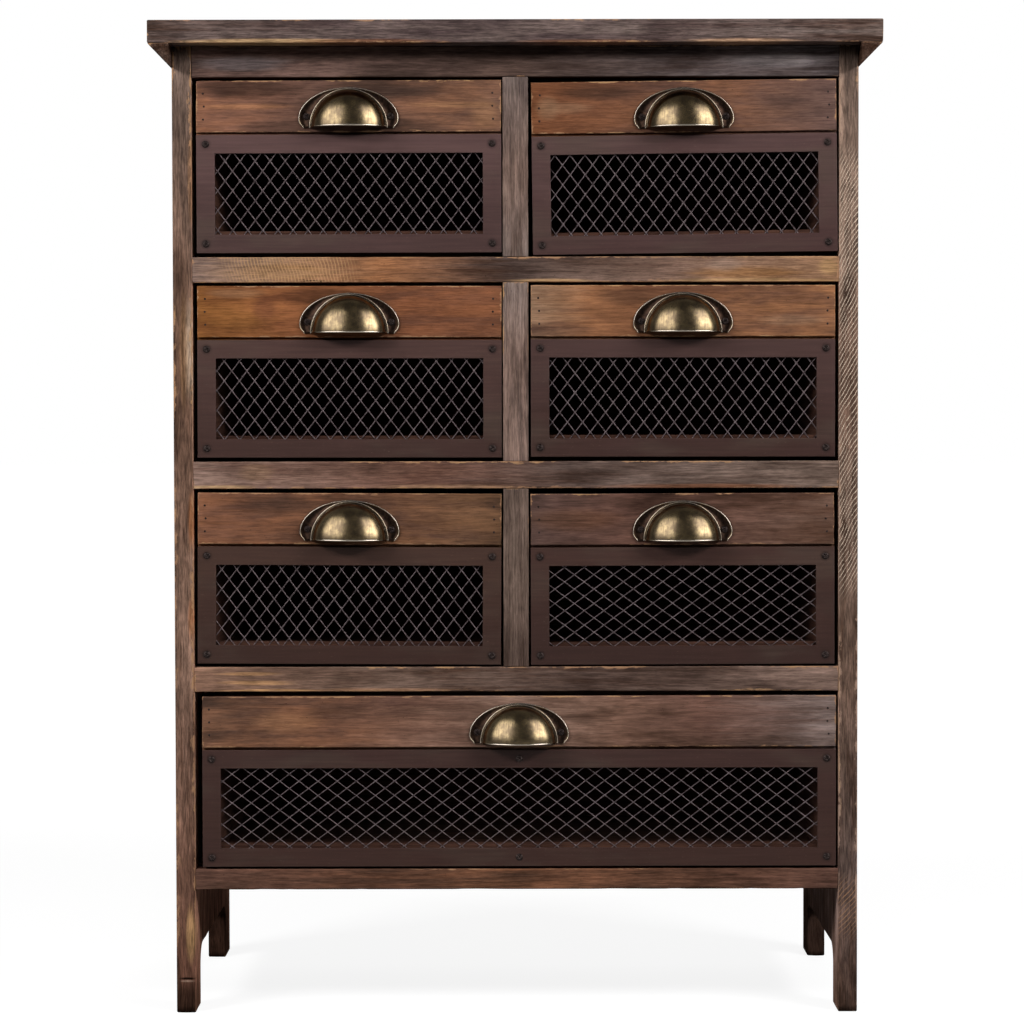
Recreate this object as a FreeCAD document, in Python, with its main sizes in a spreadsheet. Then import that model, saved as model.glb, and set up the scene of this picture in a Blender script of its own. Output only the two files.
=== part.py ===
import FreeCAD, Part
import math
import os

import Sketcher
from FreeCAD import Vector

# Rustic chest of seven drawers with mesh fronts, on four legs.
# Millimetres. X is to the right, Y to the back and Z up. The origin is on the floor,
# under the middle of the top panel, and the drawers open towards -Y.

# Driving sizes, one cell of the sheet each
SIZES = (
    # Overall size, to the edges of the top panel
    ("overall_width", 600),
    ("overall_depth", 300),
    ("overall_height", 818),
    # Top panel and its cornice strips
    ("top_thickness", 19),
    ("front_overhang", 20),
    ("side_overhang", 17.5),
    ("top_arris_radius", 1),
    # Side panels, cut away below so that two legs remain
    ("side_thickness", 16),
    ("leg_depth", 36),
    ("cutout_height", 49),
    ("cutout_radius", 16),
    # Front rails, each named after the drawer row above it, and the posts between drawers
    ("leg_clearance", 102.5),
    ("bottom_rail_height", 17),
    ("lower_rail_height", 20.5),
    ("middle_rail_height", 22.5),
    ("upper_rail_height", 21),
    ("top_rail_height", 25.5),
    ("rail_depth", 20),
    ("mullion_width", 21),
    # Back panel, its rails, and the runners under the drawers
    ("back_thickness", 6),
    ("back_rail_depth", 16),
    ("runner_width", 18),
    ("runner_height", 18),
    ("guide_height", 30),
    ("runner_clearance", 0.3),
    # Nails of the carcass
    ("nail_radius", 0.9),
    ("nail_length", 40),
    ("top_nail_inset", 30),
    ("mullion_nail_offset", 5),
    ("back_nail_length", 16),
    # Play of a drawer front in its opening, both sides together
    ("height_play", 6),
    ("width_play", 5),
    ("wide_width_play", 8),
    # Drawer front: board above, metal grille frame below
    ("front_board_height", 42.5),
    ("front_board_thickness", 15),
    ("shoulder_gap", 2),
    ("tongue_height", 16),
    ("frame_member", 15.2),
    ("frame_thickness", 2),
    # Expanded metal sheet behind the grille frame
    ("mesh_thickness", 1),
    ("mesh_screw_clearance", 1.2),
    ("mesh_hidden_hole", 1.5),
    ("mesh_strand", 1.5),
    # Drawer box
    ("back_clearance", 8),
    ("box_side_thickness", 13),
    ("box_drop", 6),
    ("box_back_thickness", 12),
    ("box_bottom_thickness", 4),
    ("box_bottom_height", 5),
    ("inner_rail_height", 18),
    # Cup pull
    ("cup_radius", 31.7),
    ("cup_projection", 19.5),
    ("pull_wall", 1.2),
    ("pull_height", 3.5),
    ("flange_half_width", 41.3),
    ("flange_arc_height", 26.5),
    ("flange_arc_level", 6.8),
    ("flange_corner_radius", 6.2),
    # Screws and brads of the drawer fronts
    ("screw_shank_radius", 1.4),
    ("screw_head_radius", 2.9),
    ("frame_screw_head_depth", 1.6),
    ("frame_screw_length", 13),
    ("pull_screw_spacing", 69),
    ("pull_screw_level", 9.2),
    ("pull_screw_head_depth", 1.7),
    ("pull_screw_length", 12),
    ("brad_radius", 0.7),
    ("brad_length", 30),
)

# Each drawer's own sizes: its shift to the right in its opening, the gap below the left and
# the right end of its front, which tilts it, and its mesh's pitches and the place of one
# hole, from the middle of the window
DRAWER_SIZE_NAMES = (
    "shift",
    "lift_left",
    "lift_right",
    "mesh_pitch_across",
    "mesh_pitch_up",
    "mesh_hole_right",
    "mesh_hole_up",
)
DRAWER_SIZES = {
    "upper_left": (1.5, 3.3, 3.6, 12.4, 16.2, -2.9, 2.8),
    "upper_right": (1.5, 1.3, 4.2, 12.4, 16.2, -1.1, 0.8),
    "middle_left": (1.3, 3.4, 3.1, 12.5, 16.25, 2.7, -1.4),
    "middle_right": (-0.6, 3.6, 3.4, 12.6, 16.2, -0.8, -3.8),
    "lower_left": (0.3, 3.1, 1.6, 12.4, 16.2, -0.4, -3),
    "lower_right": (-0.7, 1.4, 2, 16.25, 11.95, -0.1, 2),
    "bottom": (2.2, 2, 2.2, 15.85, 12.05, -0.4, -1.8),
}
DRAWER_CELLS = tuple(
    (f"{drawer_name}_{size_name}", size)
    for drawer_name, own_sizes in DRAWER_SIZES.items()
    for size_name, size in zip(DRAWER_SIZE_NAMES, own_sizes)
)

doc = FreeCAD.newDocument("seven_drawer_chest")
sheet = doc.addObject("Spreadsheet::Sheet", "sizes")
for row_number, (size_name, size) in enumerate(SIZES + DRAWER_CELLS, 1):
    sheet.set(f"A{row_number}", size_name)
    sheet.set(f"B{row_number}", str(size))
    sheet.setAlias(f"B{row_number}", size_name)
doc.recompute()

# Levels and planes, as expressions of the sheet
BODY_HALF_WIDTH = "(sizes.overall_width / 2 - sizes.side_overhang)"
INNER_HALF_WIDTH = f"({BODY_HALF_WIDTH} - sizes.side_thickness)"
TOP_FRONT = "(-sizes.overall_depth / 2)"
BODY_FRONT = f"({TOP_FRONT} + sizes.front_overhang)"
BODY_BACK = "(sizes.overall_depth / 2)"
UNDERSIDE = "(sizes.overall_height - sizes.top_thickness)"
BACK_PANEL_FRONT = f"({BODY_BACK} - sizes.back_thickness)"
BACK_RAIL_FRONT = f"({BACK_PANEL_FRONT} - sizes.back_rail_depth)"
RAIL_BACK = f"({BODY_FRONT} + sizes.rail_depth)"

# Rails from the floor up. Each of the first four carries the drawer row of its name.
RAILS = ("bottom", "lower", "middle", "upper", "top")
SPLIT_ROWS = ("lower", "middle", "upper")
ALL_RAIL_HEIGHTS = " + ".join(f"sizes.{rail}_rail_height" for rail in RAILS)
ROW_HEIGHT = f"(({UNDERSIDE} - sizes.leg_clearance - ({ALL_RAIL_HEIGHTS})) / {len(RAILS) - 1})"

# Heights of the parts of a drawer front above its lower edge
FRONT_HEIGHT = f"({ROW_HEIGHT} - sizes.height_play)"
SHOULDER = f"({FRONT_HEIGHT} - sizes.front_board_height)"
FRAME_HEIGHT = f"({SHOULDER} - sizes.shoulder_gap)"
GRILLE_BACK = "(sizes.frame_thickness + sizes.mesh_thickness)"

# Frame screws sit in the middle of the frame's members, and the mesh ends short of them
SCREW_INSET = "(sizes.frame_member / 2)"
MESH_OVERLAP = f"({SCREW_INSET} - sizes.screw_shank_radius - sizes.mesh_screw_clearance)"

# Drawer box, from the front's face to its back, and up to a little below the front's top
DRAWER_LENGTH = f"({BACK_RAIL_FRONT} - {BODY_FRONT} - sizes.back_clearance)"
BOX_HEIGHT = f"({FRONT_HEIGHT} - sizes.box_drop)"

# Turns that point a cylinder along an axis
TURNS = {
    "+X": ("0; 1; 0", 90),
    "-X": ("0; 1; 0", -90),
    "+Y": ("1; 0; 0", -90),
    "-Y": ("1; 0; 0", 90),
    "+Z": ("1; 0; 0", 0),
    "-Z": ("1; 0; 0", 180),
}

subparts = []


def value(expression):
    """Number that an expression gives with the sizes in the sheet."""
    result = sheet.evalExpression(expression)
    return float(getattr(result, "Value", result))


def rail_low(rail):
    """Lower face of a front rail."""
    index = RAILS.index(rail)
    below = " + ".join(["0"] + [f"sizes.{name}_rail_height" for name in RAILS[:index]])
    return f"(sizes.leg_clearance + ({below}) + {index} * {ROW_HEIGHT})"


def rail_middle(rail):
    """Half height of a front rail."""
    return f"({rail_low(rail)} + sizes.{rail}_rail_height / 2)"


def row_floor(row):
    """Top face of the rail that a drawer row stands over."""
    return f"({rail_low(row)} + sizes.{row}_rail_height)"


def placement(point, turn="0; 1; 0", angle="0"):
    """Placement expression from a point and a turn about an axis."""
    x, y, z = point
    return (
        f"create(<<placement>>; create(<<vector>>; {x}; {y}; {z}); "
        f"create(<<rotation>>; create(<<vector>>; {turn}); {angle}))"
    )


def add_subpart(shape_object):
    """Name a finished piece by its Label, which names its file."""
    shape_object.Label = shape_object.Name
    subparts.append(shape_object)
    return shape_object


def make_box(name, low, size):
    """Box from its lowest corner and its size along X, Y and Z."""
    box = doc.addObject("Part::Box", name)
    for side, expression in zip(("Length", "Width", "Height"), size):
        box.setExpression(side, expression)
    box.setExpression("Placement", placement(low))
    return box


def make_rod(name, start, direction, radius, length):
    """Round rod from its start along one axis."""
    rod = doc.addObject("Part::Cylinder", name)
    rod.setExpression("Radius", radius)
    rod.setExpression("Height", length)
    turn, angle = TURNS[direction]
    rod.setExpression("Placement", placement(start, turn, str(angle)))
    return rod


def make_group(name, members):
    """Several solids in one object."""
    group = doc.addObject("Part::Compound", name)
    group.Links = members
    return group


def make_cut(name, base, tool):
    """What remains of base outside tool."""
    cut = doc.addObject("Part::Cut", name)
    cut.Base = base
    cut.Tool = tool
    return cut


def make_common(name, base, tool):
    """What base and tool share."""
    common = doc.addObject("Part::Common", name)
    common.Base = base
    common.Tool = tool
    return common


def make_fuse(name, members):
    """Members joined to one solid."""
    fuse = doc.addObject("Part::MultiFuse", name)
    fuse.Shapes = members
    fuse.Refine = True
    return fuse


def make_sketch(body, name, plane_role):
    """Empty sketch on one of the body's own origin planes."""
    sketch = body.newObject("Sketcher::SketchObject", name)
    plane = next(item for item in body.Origin.OriginFeatures if item.Role == plane_role)
    sketch.AttachmentSupport = (plane, [""])
    sketch.MapMode = "FlatFace"
    return sketch


def draw_outline(sketch, corners):
    """Closed outline of straight lines, with both coordinates of each corner bound."""
    points = [Vector(value(x), value(y), 0) for x, y in corners]
    first = sketch.GeometryCount
    for start, end in zip(points, points[1:] + points[:1]):
        sketch.addGeometry(Part.LineSegment(start, end), False)
    for index, (corner, point) in enumerate(zip(corners, points)):
        line = first + index
        previous = first + (index - 1) % len(corners)
        sketch.addConstraint(Sketcher.Constraint("Coincident", previous, 2, line, 1))
        for kind, coordinate, expression in zip(("DistanceX", "DistanceY"), point, corner):
            held = sketch.addConstraint(Sketcher.Constraint(kind, -1, 1, line, 1, coordinate))
            sketch.setExpression(f"Constraints[{held}]", expression)


def rectangle(low_x, low_y, high_x, high_y):
    """Corners of a rectangle, for draw_outline."""
    return [(low_x, low_y), (high_x, low_y), (high_x, high_y), (low_x, high_y)]


def make_pad(body, sketch, length, flip=False):
    """Pad of the body's sketch."""
    pad = body.newObject("PartDesign::Pad", f"{body.Name}_pad")
    pad.Profile = sketch
    pad.setExpression("Length", length)
    pad.Reversed = flip
    return pad


def edge_names(shape, wanted):
    """Names of the edges whose two ends satisfy wanted."""
    names = []
    for index, edge in enumerate(shape.Edges, 1):
        if len(edge.Vertexes) == 2 and all(wanted(vertex.Point) for vertex in edge.Vertexes):
            names.append(f"Edge{index}")
    return names


def add_fillet(body, base, names, radius):
    """Round the named edges of the body's last feature."""
    fillet = body.newObject("PartDesign::Fillet", f"{body.Name}_fillet")
    fillet.Base = (base, names)
    fillet.setExpression("Radius", radius)
    return fillet


def make_nails():
    """Nails of the whole carcass: sides into rails, top into sides, rails into posts, back."""
    nails = []

    def drive(start, direction, length="sizes.nail_length"):
        nails.append(make_rod(f"nail_{len(nails) + 1}", start, direction, "sizes.nail_radius", length))

    front_line = f"({BODY_FRONT} + sizes.rail_depth / 2)"
    back_line = f"({BACK_RAIL_FRONT} + sizes.back_rail_depth / 2)"
    for rail in RAILS:
        for line in (front_line, back_line):
            drive((f"-{BODY_HALF_WIDTH}", line, rail_middle(rail)), "+X")
            drive((BODY_HALF_WIDTH, line, rail_middle(rail)), "-X")
        for step in (-1.5, -0.5, 0.5, 1.5):
            along = f"({step} * {INNER_HALF_WIDTH} / 2)"
            drive((along, BODY_BACK, rail_middle(rail)), "-Y", "sizes.back_nail_length")
    for side in (-1, 1):
        along = f"({side} * ({BODY_HALF_WIDTH} - sizes.side_thickness / 2))"
        for line in (
            f"({BODY_FRONT} + sizes.top_nail_inset)",
            f"(({BODY_FRONT} + {BODY_BACK}) / 2)",
            f"({BODY_BACK} - sizes.top_nail_inset)",
        ):
            drive((along, line, "sizes.overall_height"), "-Z")
    for row in SPLIT_ROWS:
        drive(("sizes.mullion_nail_offset", front_line, rail_low(row)), "+Z")
    for rail in ("middle", "upper", "top"):
        rail_top = f"({rail_low(rail)} + sizes.{rail}_rail_height)"
        drive(("-sizes.mullion_nail_offset", front_line, rail_top), "-Z")
    return make_group("carcass_nail_set", nails)


def make_top_panel(nail_set):
    """Top board with softened arrises."""
    body = doc.addObject("PartDesign::Body", "top_board")
    sketch = make_sketch(body, "top_board_outline", "XY_Plane")
    half_width = "sizes.overall_width / 2"
    draw_outline(sketch, rectangle(f"-{half_width}", TOP_FRONT, half_width, BODY_BACK))
    pad = make_pad(body, sketch, "sizes.top_thickness")
    doc.recompute()
    every_edge = edge_names(pad.Shape, lambda point: True)
    add_fillet(body, pad, every_edge, "sizes.top_arris_radius")
    body.setExpression("Placement", placement(("0", "0", UNDERSIDE)))
    add_subpart(make_cut("top_panel", body, nail_set))


def make_cornices():
    """Triangular strips under the side overhangs, as long as the top is deep."""
    for name, side in (("left_cornice", -1), ("right_cornice", 1)):
        body = doc.addObject("PartDesign::Body", name)
        sketch = make_sketch(body, f"{name}_outline", "XZ_Plane")
        inner = f"{side} * {BODY_HALF_WIDTH}"
        outer = f"{side} * sizes.overall_width / 2"
        foot = f"{UNDERSIDE} - sizes.side_overhang"
        draw_outline(sketch, [(inner, foot), (outer, UNDERSIDE), (inner, UNDERSIDE)])
        make_pad(body, sketch, "sizes.overall_depth", flip=True)
        body.setExpression("Placement", placement(("0", TOP_FRONT, "0")))
        add_subpart(body)


def make_side_panels(nail_set):
    """Side panels whose cut-away lower edge leaves a front and a back leg."""
    leg_back = f"{BODY_FRONT} + sizes.leg_depth"
    rear_leg_front = f"{BODY_BACK} - sizes.leg_depth"
    outline = [
        (BODY_FRONT, "0"),
        (leg_back, "0"),
        (leg_back, "sizes.cutout_height"),
        (rear_leg_front, "sizes.cutout_height"),
        (rear_leg_front, "0"),
        (BODY_BACK, "0"),
        (BODY_BACK, UNDERSIDE),
        (BODY_FRONT, UNDERSIDE),
    ]
    cutout_level = value("sizes.cutout_height")
    for name, low_x in (("left_side", f"-{BODY_HALF_WIDTH}"), ("right_side", INNER_HALF_WIDTH)):
        body = doc.addObject("PartDesign::Body", f"{name}_board")
        sketch = make_sketch(body, f"{name}_outline", "YZ_Plane")
        draw_outline(sketch, outline)
        pad = make_pad(body, sketch, "sizes.side_thickness")
        doc.recompute()
        # The cut-out's corners are the only edges at its level that run through the board
        corners = [
            edge
            for edge in edge_names(pad.Shape, lambda point: abs(point.z - cutout_level) < 0.01)
            if pad.Shape.getElement(edge).BoundBox.XLength > 0.01
        ]
        add_fillet(body, pad, corners, "sizes.cutout_radius")
        body.setExpression("Placement", placement((low_x, "0", "0")))
        add_subpart(make_cut(f"{name}_panel", body, nail_set))


def make_front_rails(nail_set):
    """Rails across the front, from side panel to side panel."""
    for rail in RAILS:
        board = make_box(
            f"{rail}_rail_board",
            (f"-{INNER_HALF_WIDTH}", BODY_FRONT, rail_low(rail)),
            (f"2 * {INNER_HALF_WIDTH}", "sizes.rail_depth", f"sizes.{rail}_rail_height"),
        )
        add_subpart(make_cut(f"{rail}_rail", board, nail_set))


def make_mullions(nail_set):
    """Posts between the left and right drawers of each split row."""
    for row in SPLIT_ROWS:
        board = make_box(
            f"{row}_mullion_board",
            ("-sizes.mullion_width / 2", BODY_FRONT, row_floor(row)),
            ("sizes.mullion_width", "sizes.rail_depth", ROW_HEIGHT),
        )
        add_subpart(make_cut(f"{row}_mullion", board, nail_set))


def make_back(nail_set):
    """Thin back panel between the sides, and the rails that it is nailed to."""
    panel = make_box(
        "back_board",
        (f"-{INNER_HALF_WIDTH}", BACK_PANEL_FRONT, "sizes.leg_clearance"),
        (f"2 * {INNER_HALF_WIDTH}", "sizes.back_thickness", f"{UNDERSIDE} - sizes.leg_clearance"),
    )
    add_subpart(make_cut("back_panel", panel, nail_set))
    rails = [
        make_box(
            f"back_{rail}_rail",
            (f"-{INNER_HALF_WIDTH}", BACK_RAIL_FRONT, rail_low(rail)),
            (f"2 * {INNER_HALF_WIDTH}", "sizes.back_rail_depth", f"sizes.{rail}_rail_height"),
        )
        for rail in RAILS
    ]
    add_subpart(make_cut("back_rails", make_group("back_rail_set", rails), nail_set))


def make_runner(name, low_x, width, top):
    """Strip from the front rail to the back rail, with its top at a given level."""
    length = f"({BACK_RAIL_FRONT} - {RAIL_BACK})"
    low = (low_x, RAIL_BACK, f"({top} - sizes.runner_height)")
    return make_box(name, low, (width, length, "sizes.runner_height"))


def make_runners():
    """Runners at the sides and behind the posts, each level with its drawer's lower edge."""
    outer = []
    inner = []
    for row in RAILS[:-1]:
        left_drawer = f"{row}_left" if row in SPLIT_ROWS else row
        right_drawer = f"{row}_right" if row in SPLIT_ROWS else row

        def top(drawer, side):
            return f"({row_floor(row)} + sizes.{drawer}_lift_{side} - sizes.runner_clearance)"

        left_wall = f"-{INNER_HALF_WIDTH}"
        right_wall = f"({INNER_HALF_WIDTH} - sizes.runner_width)"
        width = "sizes.runner_width"
        outer.append(make_runner(f"{row}_left_runner", left_wall, width, top(left_drawer, "left")))
        outer.append(make_runner(f"{row}_right_runner", right_wall, width, top(right_drawer, "right")))
        if row in SPLIT_ROWS:
            left_of_guide = "(-sizes.mullion_width / 2 - sizes.runner_width)"
            right_of_guide = "sizes.mullion_width / 2"
            guide_top = f"({row_floor(row)} + sizes.guide_height)"
            guide_low = f"({row_floor(row)} - sizes.runner_height)"
            inner.append(make_runner(f"{row}_inner_left", left_of_guide, width, top(left_drawer, "right")))
            inner.append(make_runner(f"{row}_inner_right", right_of_guide, width, top(right_drawer, "left")))
            inner.append(
                make_box(
                    f"{row}_guide",
                    ("-sizes.mullion_width / 2", RAIL_BACK, guide_low),
                    (
                        "sizes.mullion_width",
                        f"({BACK_RAIL_FRONT} - {RAIL_BACK})",
                        f"({guide_top} - {guide_low})",
                    ),
                )
            )
    add_subpart(make_group("side_runners", outer))
    add_subpart(make_group("centre_runners", inner))


class Drawer:
    """One drawer: its names, its opening and where its front sits in it."""

    def __init__(self, name, row, side):
        self.name = name
        self.side = side
        opening_width = f"({INNER_HALF_WIDTH} - sizes.mullion_width / 2)"
        if side == 0:
            self.width = f"(2 * {INNER_HALF_WIDTH} - sizes.wide_width_play)"
        else:
            self.width = f"({opening_width} - sizes.width_play)"
        middle = f"({side} * ({INNER_HALF_WIDTH} + sizes.mullion_width / 2) / 2)"
        left_lift = f"sizes.{name}_lift_left"
        right_lift = f"sizes.{name}_lift_right"
        point = (
            f"({middle} + sizes.{name}_shift)",
            BODY_FRONT,
            f"({row_floor(row)} + ({left_lift} + {right_lift}) / 2)",
        )
        tilt = f"atan(({left_lift} - {right_lift}) / {self.width})"
        self.place = placement(point, "0; 1; 0", tilt)

    def named(self, piece):
        """Object name of one of the drawer's pieces."""
        return f"{self.name}_drawer_{piece}"

    def add(self, shape_object):
        """Move a finished piece from the drawer's own frame to its place in the chest."""
        shape_object.setExpression("Placement", self.place)
        return add_subpart(shape_object)

    def screw_stations(self):
        """Places of the frame screws: the corners, and the middle of a wide frame."""
        side = f"({self.width} / 2 - {SCREW_INSET})"
        columns = (f"-{side}", side) if self.side else (f"-{side}", "0", side)
        levels = (SCREW_INSET, f"({FRAME_HEIGHT} - {SCREW_INSET})")
        return [(column, level) for column in columns for level in levels]


def make_frame_screw(name, x, z):
    """Countersunk screw, its head level with the face of the grille frame."""
    head = doc.addObject("Part::Cone", f"{name}_head")
    head.setExpression("Radius1", "sizes.screw_head_radius")
    head.setExpression("Radius2", "sizes.screw_shank_radius")
    head.setExpression("Height", "sizes.frame_screw_head_depth")
    turn, angle = TURNS["+Y"]
    head.setExpression("Placement", placement((x, "0", z), turn, str(angle)))
    shank = make_rod(
        f"{name}_shank", (x, "0", z), "+Y", "sizes.screw_shank_radius", "sizes.frame_screw_length"
    )
    return make_fuse(name, [head, shank])


def make_pull_screw(name, x, z):
    """Pan-head screw on a wing of the pull."""
    head_low = "(-sizes.pull_wall - sizes.pull_screw_head_depth)"
    head = make_rod(
        f"{name}_head", (x, head_low, z), "+Y", "sizes.screw_head_radius", "sizes.pull_screw_head_depth"
    )
    shank = make_rod(
        f"{name}_shank", (x, head_low, z), "+Y", "sizes.screw_shank_radius", "sizes.pull_screw_length"
    )
    return make_fuse(name, [head, shank])


def make_fasteners(drawer):
    """All screws and brads of one drawer, in the drawer's own frame."""
    members = []
    for number, (x, z) in enumerate(drawer.screw_stations(), 1):
        members.append(make_frame_screw(drawer.named(f"frame_screw_{number}"), x, z))
    pull_level = f"({SHOULDER} + sizes.pull_height + sizes.pull_screw_level)"
    for number, side in enumerate((-1, 1), 1):
        x = f"({side} * sizes.pull_screw_spacing / 2)"
        members.append(make_pull_screw(drawer.named(f"pull_screw_{number}"), x, pull_level))
    for number in range(6):
        side = 1 if number % 2 else -1
        x = f"({side} * ({drawer.width} / 2 - sizes.box_side_thickness / 2))"
        z = f"({SHOULDER} + sizes.front_board_height * {1 + number // 2} / 4)"
        name = drawer.named(f"brad_{number + 1}")
        members.append(make_rod(name, (x, "0", z), "+Y", "sizes.brad_radius", "sizes.brad_length"))
    return make_group(drawer.named("fastener_set"), members)


def make_front_board(drawer, fasteners):
    """Upper board of the front, with a tongue behind the grille frame's top member."""
    body = doc.addObject("PartDesign::Body", drawer.named("front_blank"))
    sketch = make_sketch(body, drawer.named("front_outline"), "YZ_Plane")
    draw_outline(
        sketch,
        [
            ("0", SHOULDER),
            (GRILLE_BACK, SHOULDER),
            (GRILLE_BACK, f"{SHOULDER} - sizes.tongue_height"),
            ("sizes.front_board_thickness", f"{SHOULDER} - sizes.tongue_height"),
            ("sizes.front_board_thickness", FRONT_HEIGHT),
            ("0", FRONT_HEIGHT),
        ],
    )
    make_pad(body, sketch, drawer.width)
    body.setExpression("Placement", placement((f"-{drawer.width} / 2", "0", "0")))
    drawer.add(make_cut(drawer.named("front_board"), body, fasteners))


def make_drawer_box(drawer, fasteners):
    """Sides notched for the front board, back, bottom, and the inner rail behind the frame."""
    half_width = f"({drawer.width} / 2)"
    inner_half = f"({half_width} - sizes.box_side_thickness)"
    step = f"{SHOULDER} - sizes.tongue_height"
    sides = []
    for name, low_x in (("left", f"-{half_width}"), ("right", inner_half)):
        side = doc.addObject("PartDesign::Body", drawer.named(f"{name}_wall"))
        sketch = make_sketch(side, drawer.named(f"{name}_wall_outline"), "YZ_Plane")
        draw_outline(
            sketch,
            [
                (GRILLE_BACK, "0"),
                (DRAWER_LENGTH, "0"),
                (DRAWER_LENGTH, BOX_HEIGHT),
                ("sizes.front_board_thickness", BOX_HEIGHT),
                ("sizes.front_board_thickness", step),
                (GRILLE_BACK, step),
            ],
        )
        make_pad(side, sketch, "sizes.box_side_thickness")
        side.setExpression("Placement", placement((low_x, "0", "0")))
        sides.append(side)
    back_front = f"({DRAWER_LENGTH} - sizes.box_back_thickness)"
    back = make_box(
        drawer.named("back_wall"),
        (f"-{inner_half}", back_front, "0"),
        (f"2 * {inner_half}", "sizes.box_back_thickness", BOX_HEIGHT),
    )
    bottom = make_box(
        drawer.named("bottom_panel"),
        (f"-{inner_half}", "sizes.front_board_thickness", "sizes.box_bottom_height"),
        (
            f"2 * {inner_half}",
            f"{back_front} - sizes.front_board_thickness",
            "sizes.box_bottom_thickness",
        ),
    )
    inner_rail = make_box(
        drawer.named("inner_rail"),
        (f"-{inner_half}", GRILLE_BACK, "0"),
        (
            f"2 * {inner_half}",
            f"sizes.front_board_thickness - {GRILLE_BACK}",
            "sizes.inner_rail_height",
        ),
    )
    group = make_group(drawer.named("box_set"), sides + [back, bottom, inner_rail])
    drawer.add(make_cut(drawer.named("box"), group, fasteners))


def make_grille_frame(drawer, fasteners):
    """Flat metal frame, with countersunk holes for its screws."""
    body = doc.addObject("PartDesign::Body", drawer.named("frame_blank"))
    sketch = make_sketch(body, drawer.named("frame_outline"), "XZ_Plane")
    half_width = f"{drawer.width} / 2"
    inner_half = f"({half_width} - sizes.frame_member)"
    draw_outline(sketch, rectangle(f"-{half_width}", "0", half_width, FRAME_HEIGHT))
    draw_outline(
        sketch,
        rectangle(
            f"-{inner_half}",
            "sizes.frame_member",
            inner_half,
            f"{FRAME_HEIGHT} - sizes.frame_member",
        ),
    )
    make_pad(body, sketch, "sizes.frame_thickness", flip=True)
    drawer.add(make_cut(drawer.named("grille_frame"), body, fasteners))


def clip_to_rectangle(points, half_width, low, high):
    """Part of a convex outline inside a rectangle, as its corners."""
    limits = ((0, -1, -half_width), (0, 1, half_width), (1, -1, low), (1, 1, high))
    for axis, sense, limit in limits:
        kept = []
        for start, end in zip(points, points[1:] + points[:1]):
            inside_start = sense * (limit - start[axis]) >= 0
            inside_end = sense * (limit - end[axis]) >= 0
            if inside_start:
                kept.append(start)
            if inside_start != inside_end:
                share = (limit - start[axis]) / (end[axis] - start[axis])
                kept.append(tuple(a + share * (b - a) for a, b in zip(start, end)))
        points = kept
    return points


def make_mesh(drawer):
    """Flat sheet with rows of diamond holes, cut off straight behind the grille frame."""
    across = value(f"sizes.{drawer.name}_mesh_pitch_across")
    up = value(f"sizes.{drawer.name}_mesh_pitch_up")
    strand = value("sizes.mesh_strand")
    member = value("sizes.frame_member")
    window_half = value(f"{drawer.width} / 2") - member
    window_low = member
    window_high = value(FRAME_HEIGHT) - member
    hidden = value("sizes.mesh_hidden_hole")
    overlap = value(MESH_OVERLAP)

    # Half diagonals of a hole: those of the pitch, less the strands that border it
    diagonal = math.hypot(across, up)
    half_x = across / 2 - strand * diagonal / (2 * up)
    half_z = up / 2 - strand * diagonal / (2 * across)

    front = value("sizes.frame_thickness")

    def wire(corners):
        loop = [Vector(x, front, z) for x, z in corners]
        return Part.makePolygon(loop + loop[:1])

    sheet_half = window_half + overlap
    outline = wire(
        [
            (-sheet_half, window_low - overlap),
            (sheet_half, window_low - overlap),
            (sheet_half, window_high + overlap),
            (-sheet_half, window_high + overlap),
        ]
    )
    hole_x = value(f"sizes.{drawer.name}_mesh_hole_right")
    hole_z = (window_low + window_high) / 2 + value(f"sizes.{drawer.name}_mesh_hole_up")
    columns = math.ceil(2 * sheet_half / across) + 1
    rows = math.ceil((window_high - window_low + 2 * overlap) / up) + 1
    smallest_side = strand / 2
    holes = []
    for column in range(-columns, columns + 1):
        for row in range(-rows, rows + 1):
            if (column + row) % 2:
                continue
            x = hole_x + column * across / 2
            z = hole_z + row * up / 2
            # Corners run the other way round than the outline's, as a hole's must
            diamond = [(x - half_x, z), (x, z + half_z), (x + half_x, z), (x, z - half_z)]
            corners = clip_to_rectangle(
                diamond, window_half + hidden, window_low - hidden, window_high + hidden
            )
            if len(corners) < 3:
                continue
            spans = [max(axis) - min(axis) for axis in zip(*corners)]
            if min(spans) > smallest_side:
                holes.append(wire(corners))
    mesh = doc.addObject("Part::Feature", drawer.named("mesh"))
    mesh.Shape = Part.Face([outline] + holes).extrude(Vector(0, value("sizes.mesh_thickness"), 0))
    drawer.add(mesh)


def make_ball(name, wall):
    """Flattened ball round the middle of the cup's lower edge, smaller by wall."""
    ball = doc.addObject("Part::Ellipsoid", name)
    ball.setExpression("Radius1", f"sizes.cup_radius - {wall}")
    ball.setExpression("Radius2", f"sizes.cup_radius - {wall}")
    ball.setExpression("Radius3", f"sizes.cup_projection - {wall}")
    return ball


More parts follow.
